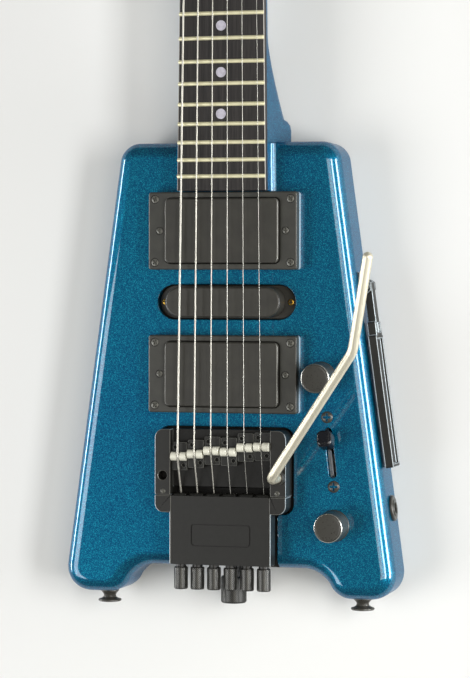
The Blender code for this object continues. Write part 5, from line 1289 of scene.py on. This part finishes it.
foot = (CHEEK_X, ARM_Y, FACE + 0.003)
tip = Vector((0.0986, 0.1168, 0.100))
elbow = Vector((0.0863, 0.0606, 0.085))
path = rounded_path([foot, (CHEEK_X, ARM_Y, FACE + 0.032), elbow, tip], (0.007, 0.016), 12)[:-1]
along_tip = (tip - elbow).normalized()
shares = [1.0] * len(path)
for step in range(7):
    angle = math.pi / 2 * step / 6
    path.append(tip - along_tip * ARM_RADIUS * (1 - math.sin(angle)))
    shares.append(max(0.02, math.cos(angle)))
arm = tube(path, ARM_RADIUS, arm_nickel, 8, shares)
hand_over(arm, "bent_arm", "arm", ("tremolo_arm",), smooth=60, flat=False)

# %% [markdown]
# The arm stands in a plain black bush that is pressed into the right-hand cheek. Its collar is
# the small dark ring that shows beside the foot of the arm.

# %% Arm collar
low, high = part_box("arm_collar")
rim_z, seat_z = high.z, CARRIAGE_TOP + 0.0003
profile = [(0.0032, low.z), (0.0037, low.z), (0.0037, seat_z), (0.0042, seat_z), (0.0042, rim_z - 0.0007),
           (0.00405, rim_z - 0.0003), (0.0038, rim_z - 0.0001), (0.0036, rim_z), (0.0034, rim_z),
           (0.0032, rim_z - 0.0002), (0.0032, low.z)]
collar = solid(lathe(profile, at(CHEEK_X, ARM_Y, 0), 48), cover_plastic)
hand_over(collar, "arm_collar_bush", "carriage", ("arm_collar",))

# %% [markdown]
# Volume and tone have the same turned knob, a slightly tapered barrel with a rounded top edge
# that draws a bright arc on either side. The profile is spun round the pot's shaft, and the
# bore under it is open so that the shaft stands inside.

# %% Control knobs
for label in ("volume", "tone"):
    low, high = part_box(f"{label}_knob")
    centre = (low + high) / 2
    base, top = high.x - centre.x, 0.0086
    profile = [(0, FACE + 0.0121), (0.0033, FACE + 0.0121), (0.0033, low.z), (base - 0.0003, low.z),
               (base, low.z + 0.0003), (base, low.z + 0.0012), (base - 0.0003, low.z + 0.0016)]
    for step in range(7):
        angle = math.pi / 2 * step / 6
        profile.append((top - 0.0011 * (1 - math.cos(angle)), high.z - 0.0011 * (1 - math.sin(angle))))
    profile += [(top - 0.0016, high.z), (top - 0.0019, high.z - 0.00015), (0, high.z - 0.00015)]
    knob = solid(lathe(profile, at(centre.x, centre.y, 0), 96), knob_black)
    refinish(knob, knob_rim, lambda spot, way: 0.45 < way.z < 0.88 and spot.z > high.z - 0.0012)
    hand_over(knob, f"{label}_control_knob", f"{label}_knob", (f"{label}_knob",))

# %% [markdown]
# The selector is a blade that pokes through the slot and carries a small rounded tip. It leans
# towards the neck in the position shown. Two cross-head screws hold the switch from the face.

# %% Selector lever and its screws
LEAN = math.radians(20)
PIVOT_Z = FACE - 0.014
side_bm = plate([(-0.002, -0.002, 0.0019), (0.002, -0.002, 0.0019), (0.002, 0.0215, 0),
                 (-0.002, 0.0215, 0)],
                -0.0008, 0.0008, 0.0002, 6, 2, both=True)
lever = solid(across(side_bm), gloss_black)
tip_bm = plate(rectangle(0.0045, -0.005, 0.005, 0.003), 0.0205, 0.0285, 0.0020, 8, 6)
boolean(lever, [solid(tip_bm, gloss_black)], "UNION")
lean = at(SWITCH.x, SWITCH.y, PIVOT_Z) @ Matrix.Rotation(SLOT_TURN, 4, "Z") @ Matrix.Rotation(-LEAN, 4, "X")
lever.data.transform(lean)
hand_over(lever, "selector_blade", "selector_lever", ("selector_lever",), smooth=40)
switch_screw = cross_screw(0.0035, 0.0012, 0.0015)
screws = [(switch_screw, at(x, y, FACE + 0.0001)) for x, y in ((0.0611, 0.0210), (0.0652, -0.0196))]
fasten("selector_screws", "guitar", screws, knob_black, smooth=40)

# %% [markdown]
# The rest is small hardware: the cover of the control cavity with five screws, the jack in the
# treble side, and a strap button on each horn. They are all plates and turned shapes.

# %% Control cover, jack and strap buttons
low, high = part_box("control_cover")
cover = solid(control_plate(0.0207, low.z, high.z), ring_plastic)
lie = (VOLUME - TONE).normalized()
centre = (VOLUME + TONE) / 2
across_lie = Vector((-lie.y, lie.x))
END_SCREW, SIDE_SCREW = 0.0612, 0.0189
screw_plan = ((END_SCREW, 0), (-END_SCREW, 0), (0, SIDE_SCREW), (0.025, -SIDE_SCREW), (-0.025, -SIDE_SCREW))
spots = [centre + lie * along_it + across_lie * beside for along_it, beside in screw_plan]
cover_screw = cross_screw(0.0018, 0.0003)
turn_over = Matrix.Rotation(math.pi, 4, "X")
seat = [(0, -0.004), (0.0021, -0.004), (0.0021, 0), (0.0011, 0.001), (0, 0.001)]
carve(cover, [lathe(seat, at(*spot, low.z), 24) for spot in spots])
hand_over(cover, "control_cavity_cover", "guitar", ("control_cover",))
screws = [(cover_screw, at(*spot, low.z + 0.0003) @ turn_over) for spot in spots]
fasten("control_cover_screws", "guitar", screws)

profile = [(0, -0.0127), (0.0033, -0.0127), (0.0033, 0.0019), (0.0036, 0.0023), (0.0048, 0.0023),
           (0.0050, 0.0020), (0.0052, 0.0018), (0.0070, 0.0018), (0.0075, 0.0014), (0.0076, 0.0009),
           (0.0076, 0.0003), (0.0046, 0.0003), (0.0046, -0.017), (0, -0.017)]
jack = solid(lathe(profile, jack_place, 64), knob_black)
hand_over(jack, "jack_bush", "guitar", ("jack_socket",))

button_screw = cross_screw(0.0034, 0.0008, 0.0)
for label, side in (("bass", -1), ("treble", 1)):
    low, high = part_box(f"strap_button_{label}")
    place = towards(((low.x + high.x) / 2, high.y + 0.0003, (low.z + high.z) / 2), (0, -1, 0))
    profile = [(0, 0.0003), (0.0056, 0.0003), (0.0056, 0.0012), (0.0048, 0.0021), (0.0040, 0.0030),
               (0.0037, 0.0040), (0.0040, 0.0050), (0.0052, 0.0058), (0.0068, 0.0063), (0.0070, 0.0067),
               (0.0070, 0.0072), (0.0066, 0.0076), (0.0055, 0.0078), (0.0040, 0.0075), (0, 0.0075)]
    button = solid(lathe(profile, place, 48), knob_black)
    centre_screw = gather([(button_screw, place @ at(0, 0, 0.0074))], knob_black, shielding_paint_and_painted_shade)
    boolean(button, [centre_screw], "UNION")
    hand_over(button, f"strap_button_turned_{label}", "guitar", (f"strap_button_{label}",))

# %% [markdown]
# Along the treble side lies a folding leg rest for playing seated. A bracket with two lugs is
# screwed to the side, and a channelled bar swings out on a pin between the lugs. The bar's
# outline steps in twice towards the hinge. Its edges are eased and carry a bright painted
# highlight, which draws the two thin light lines that one sees from the front.

# %% Leg rest
HINGE_Y = 0.097
HINGE_Z = FACE - 0.0155
AXIS_OUT = 0.0003 + 0.0012 + 0.0006 + 0.0025
hinge_place = treble_side(HINGE_Y, HINGE_Z, AXIS_OUT)
REACH, SHOULDER, TONGUE = 0.107, 0.029, 0.021
DEEP, SHOULDER_DEEP, TONGUE_DEEP = 0.009, 0.0073, 0.00425
THICK = 0.0025

lower = [(-REACH, -DEEP, 0.001), (-SHOULDER, -DEEP, 0.0008), (-SHOULDER, -SHOULDER_DEEP, 0),
         (-TONGUE, -SHOULDER_DEEP, 0.0008), (-TONGUE, -TONGUE_DEEP, 0), (THICK, -TONGUE_DEEP, 0)]
upper = [(y, -z, radius) for y, z, radius in reversed(lower)]
bar = solid(across(plate(lower + upper, -THICK, THICK, 0, 4)), casting_black)
CHANNEL_START, CHANNEL_END, CHANNEL_HALF = -REACH + 0.002, -SHOULDER - 0.002, 0.0077
channel = plate([(CHANNEL_START, -CHANNEL_HALF, 0.0004), (CHANNEL_END, -CHANNEL_HALF, 0.0004),
                 (CHANNEL_END, CHANNEL_HALF, 0.0004), (CHANNEL_START, CHANNEL_HALF, 0.0004)],
                THICK - 0.0018, THICK + PAST)
SLOT_START, SLOT_END, SLOT_IN, SLOT_OUT = -SHOULDER + 0.0015, -TONGUE - 0.001, 0.0008, 0.0058
slots = [plate([(SLOT_START, side * SLOT_IN, 0), (SLOT_END, side * SLOT_IN, 0),
                (SLOT_END, side * SLOT_OUT, 0.001), (SLOT_START, side * SLOT_OUT, 0.001)],
               THICK - 0.0012, THICK + PAST) for side in (-1, 1)]
PIN_BORE = 0.0015
carve(bar, [across(channel)] + [across(bm) for bm in slots] + [hole(0, 0, -2 * PAST, 2 * PAST, PIN_BORE)])
# The bar's edges and its end face get the bright painted highlight.
ease_edges(bar, 0.0004, painted_edge_highlight, 50)
refinish(bar, painted_edge_highlight, lambda spot, way: spot.y < -REACH + 0.0025 and way.x > 0.5)
bar.data.transform(hinge_place)
hand_over(bar, "leg_rest_channel", "leg_rest_bar", ("leg_rest_bar",), smooth=40)
bracket_in, bracket_out = -AXIS_OUT + 0.0003, -AXIS_OUT + 0.0015
LUG_START, LUG_END = TONGUE_DEEP + 0.0003, TONGUE_DEEP + 0.0028
bracket = solid(plate([(bracket_in, -0.009, 0), (bracket_out, -0.009, 0), (bracket_out, 0.009, 0),
                       (bracket_in, 0.009, 0)], -LUG_END, LUG_END), casting_black)
lug_outline = [(bracket_in + 0.0006, -0.0063, 0), (THICK, -THICK, 0.002), (THICK, THICK, 0.002),
               (bracket_in + 0.0006, 0.0063, 0)]
lugs = [solid(plate(lug_outline, start, stop), casting_black)
        for start, stop in ((-LUG_END, -LUG_START), (LUG_START, LUG_END))]
boolean(bracket, lugs, "UNION")
carve(bracket, [hole(0, 0, -2 * PAST, 2 * PAST, PIN_BORE)])
# The bracket's sharp edges get the bright painted highlight.
ease_edges(bracket, 0.0003, painted_edge_highlight, 50)
bracket.data.transform(hinge_place)
hand_over(bracket, "leg_rest_hinge", "guitar", ("leg_rest_bracket",), smooth=40)

# %% [markdown]
# The studio is plain: a pale paper floor under the guitar, a dim even sky and five soft lamps.
# The broad key stands to the left. On the right a warm panel draws the cream line where the
# long edge begins to turn, a tall softbox draws the bright line beside it, and a low strip
# makes the teal band below. A low strip on the left lights the left-hand edges.

# %% Floor and light
floor_colour, tree, shader, place = finish_named("matt paper backdrop", "#dcdddc", 0.9)
tree.links.new(blend_colours(tree, mottle(tree, place, 400, 0, 1, 1.0), "#dadbda", "#dfe0de"),
               shader.inputs["Base Color"])
floor_bm = bmesh.new()
bmesh.ops.create_grid(floor_bm, x_segments=1, y_segments=1, size=4.0)
floor = solid(floor_bm, floor_colour)
floor.name = "paper_backdrop"
floor.location.z = -0.0005


def softbox(name, place, aim, size, power, colour=(1, 1, 1), spread=180):
    """An area light aimed at a point, with its width across the guitar and its length along it."""
    lamp = bpy.data.lights.new(name, "AREA")
    lamp.shape = "RECTANGLE"
    lamp.size, lamp.size_y = size
    lamp.energy = power
    lamp.color = colour
    lamp.spread = math.radians(spread)
    back = (Vector(place) - Vector(aim)).normalized()
    wide = Vector((0, 1, 0)).cross(back).normalized()
    turn = Matrix((wide, back.cross(wide), back)).transposed().to_4x4()
    made = bpy.data.objects.new(name, lamp)
    made.matrix_world = Matrix.Translation(place) @ turn
    bpy.context.scene.collection.objects.link(made)


world = bpy.data.worlds.new("studio")
bpy.context.scene.world = world
world.use_nodes = True
world.node_tree.nodes["Background"].inputs["Color"].default_value = (0.55, 0.56, 0.58, 1)
world.node_tree.nodes["Background"].inputs["Strength"].default_value = 0.2
RIGHT_EDGE = (0.08, 0.05, 0.03)
softbox("key", (-1.2, -0.35, 1.35), (0, 0.05, 0), (1.1, 1.1), 20)
softbox("warm_panel", (0.58, 0.05, 1.45), RIGHT_EDGE, (0.65, 0.9), 7, (1.0, 0.93, 0.82))
softbox("right_softbox", (1.10, 0.05, 1.13), RIGHT_EDGE, (0.3, 0.9), 14)
softbox("low_right_strip", (1.28, 0.05, 0.22), RIGHT_EDGE, (0.35, 0.8), 3.6, spread=80)
softbox("left_strip", (-1.2, 0.05, 0.12), (-0.05, 0.05, 0.03), (0.12, 0.9), 1.8, spread=80)

bpy.context.scene.view_settings.view_transform = "Standard"
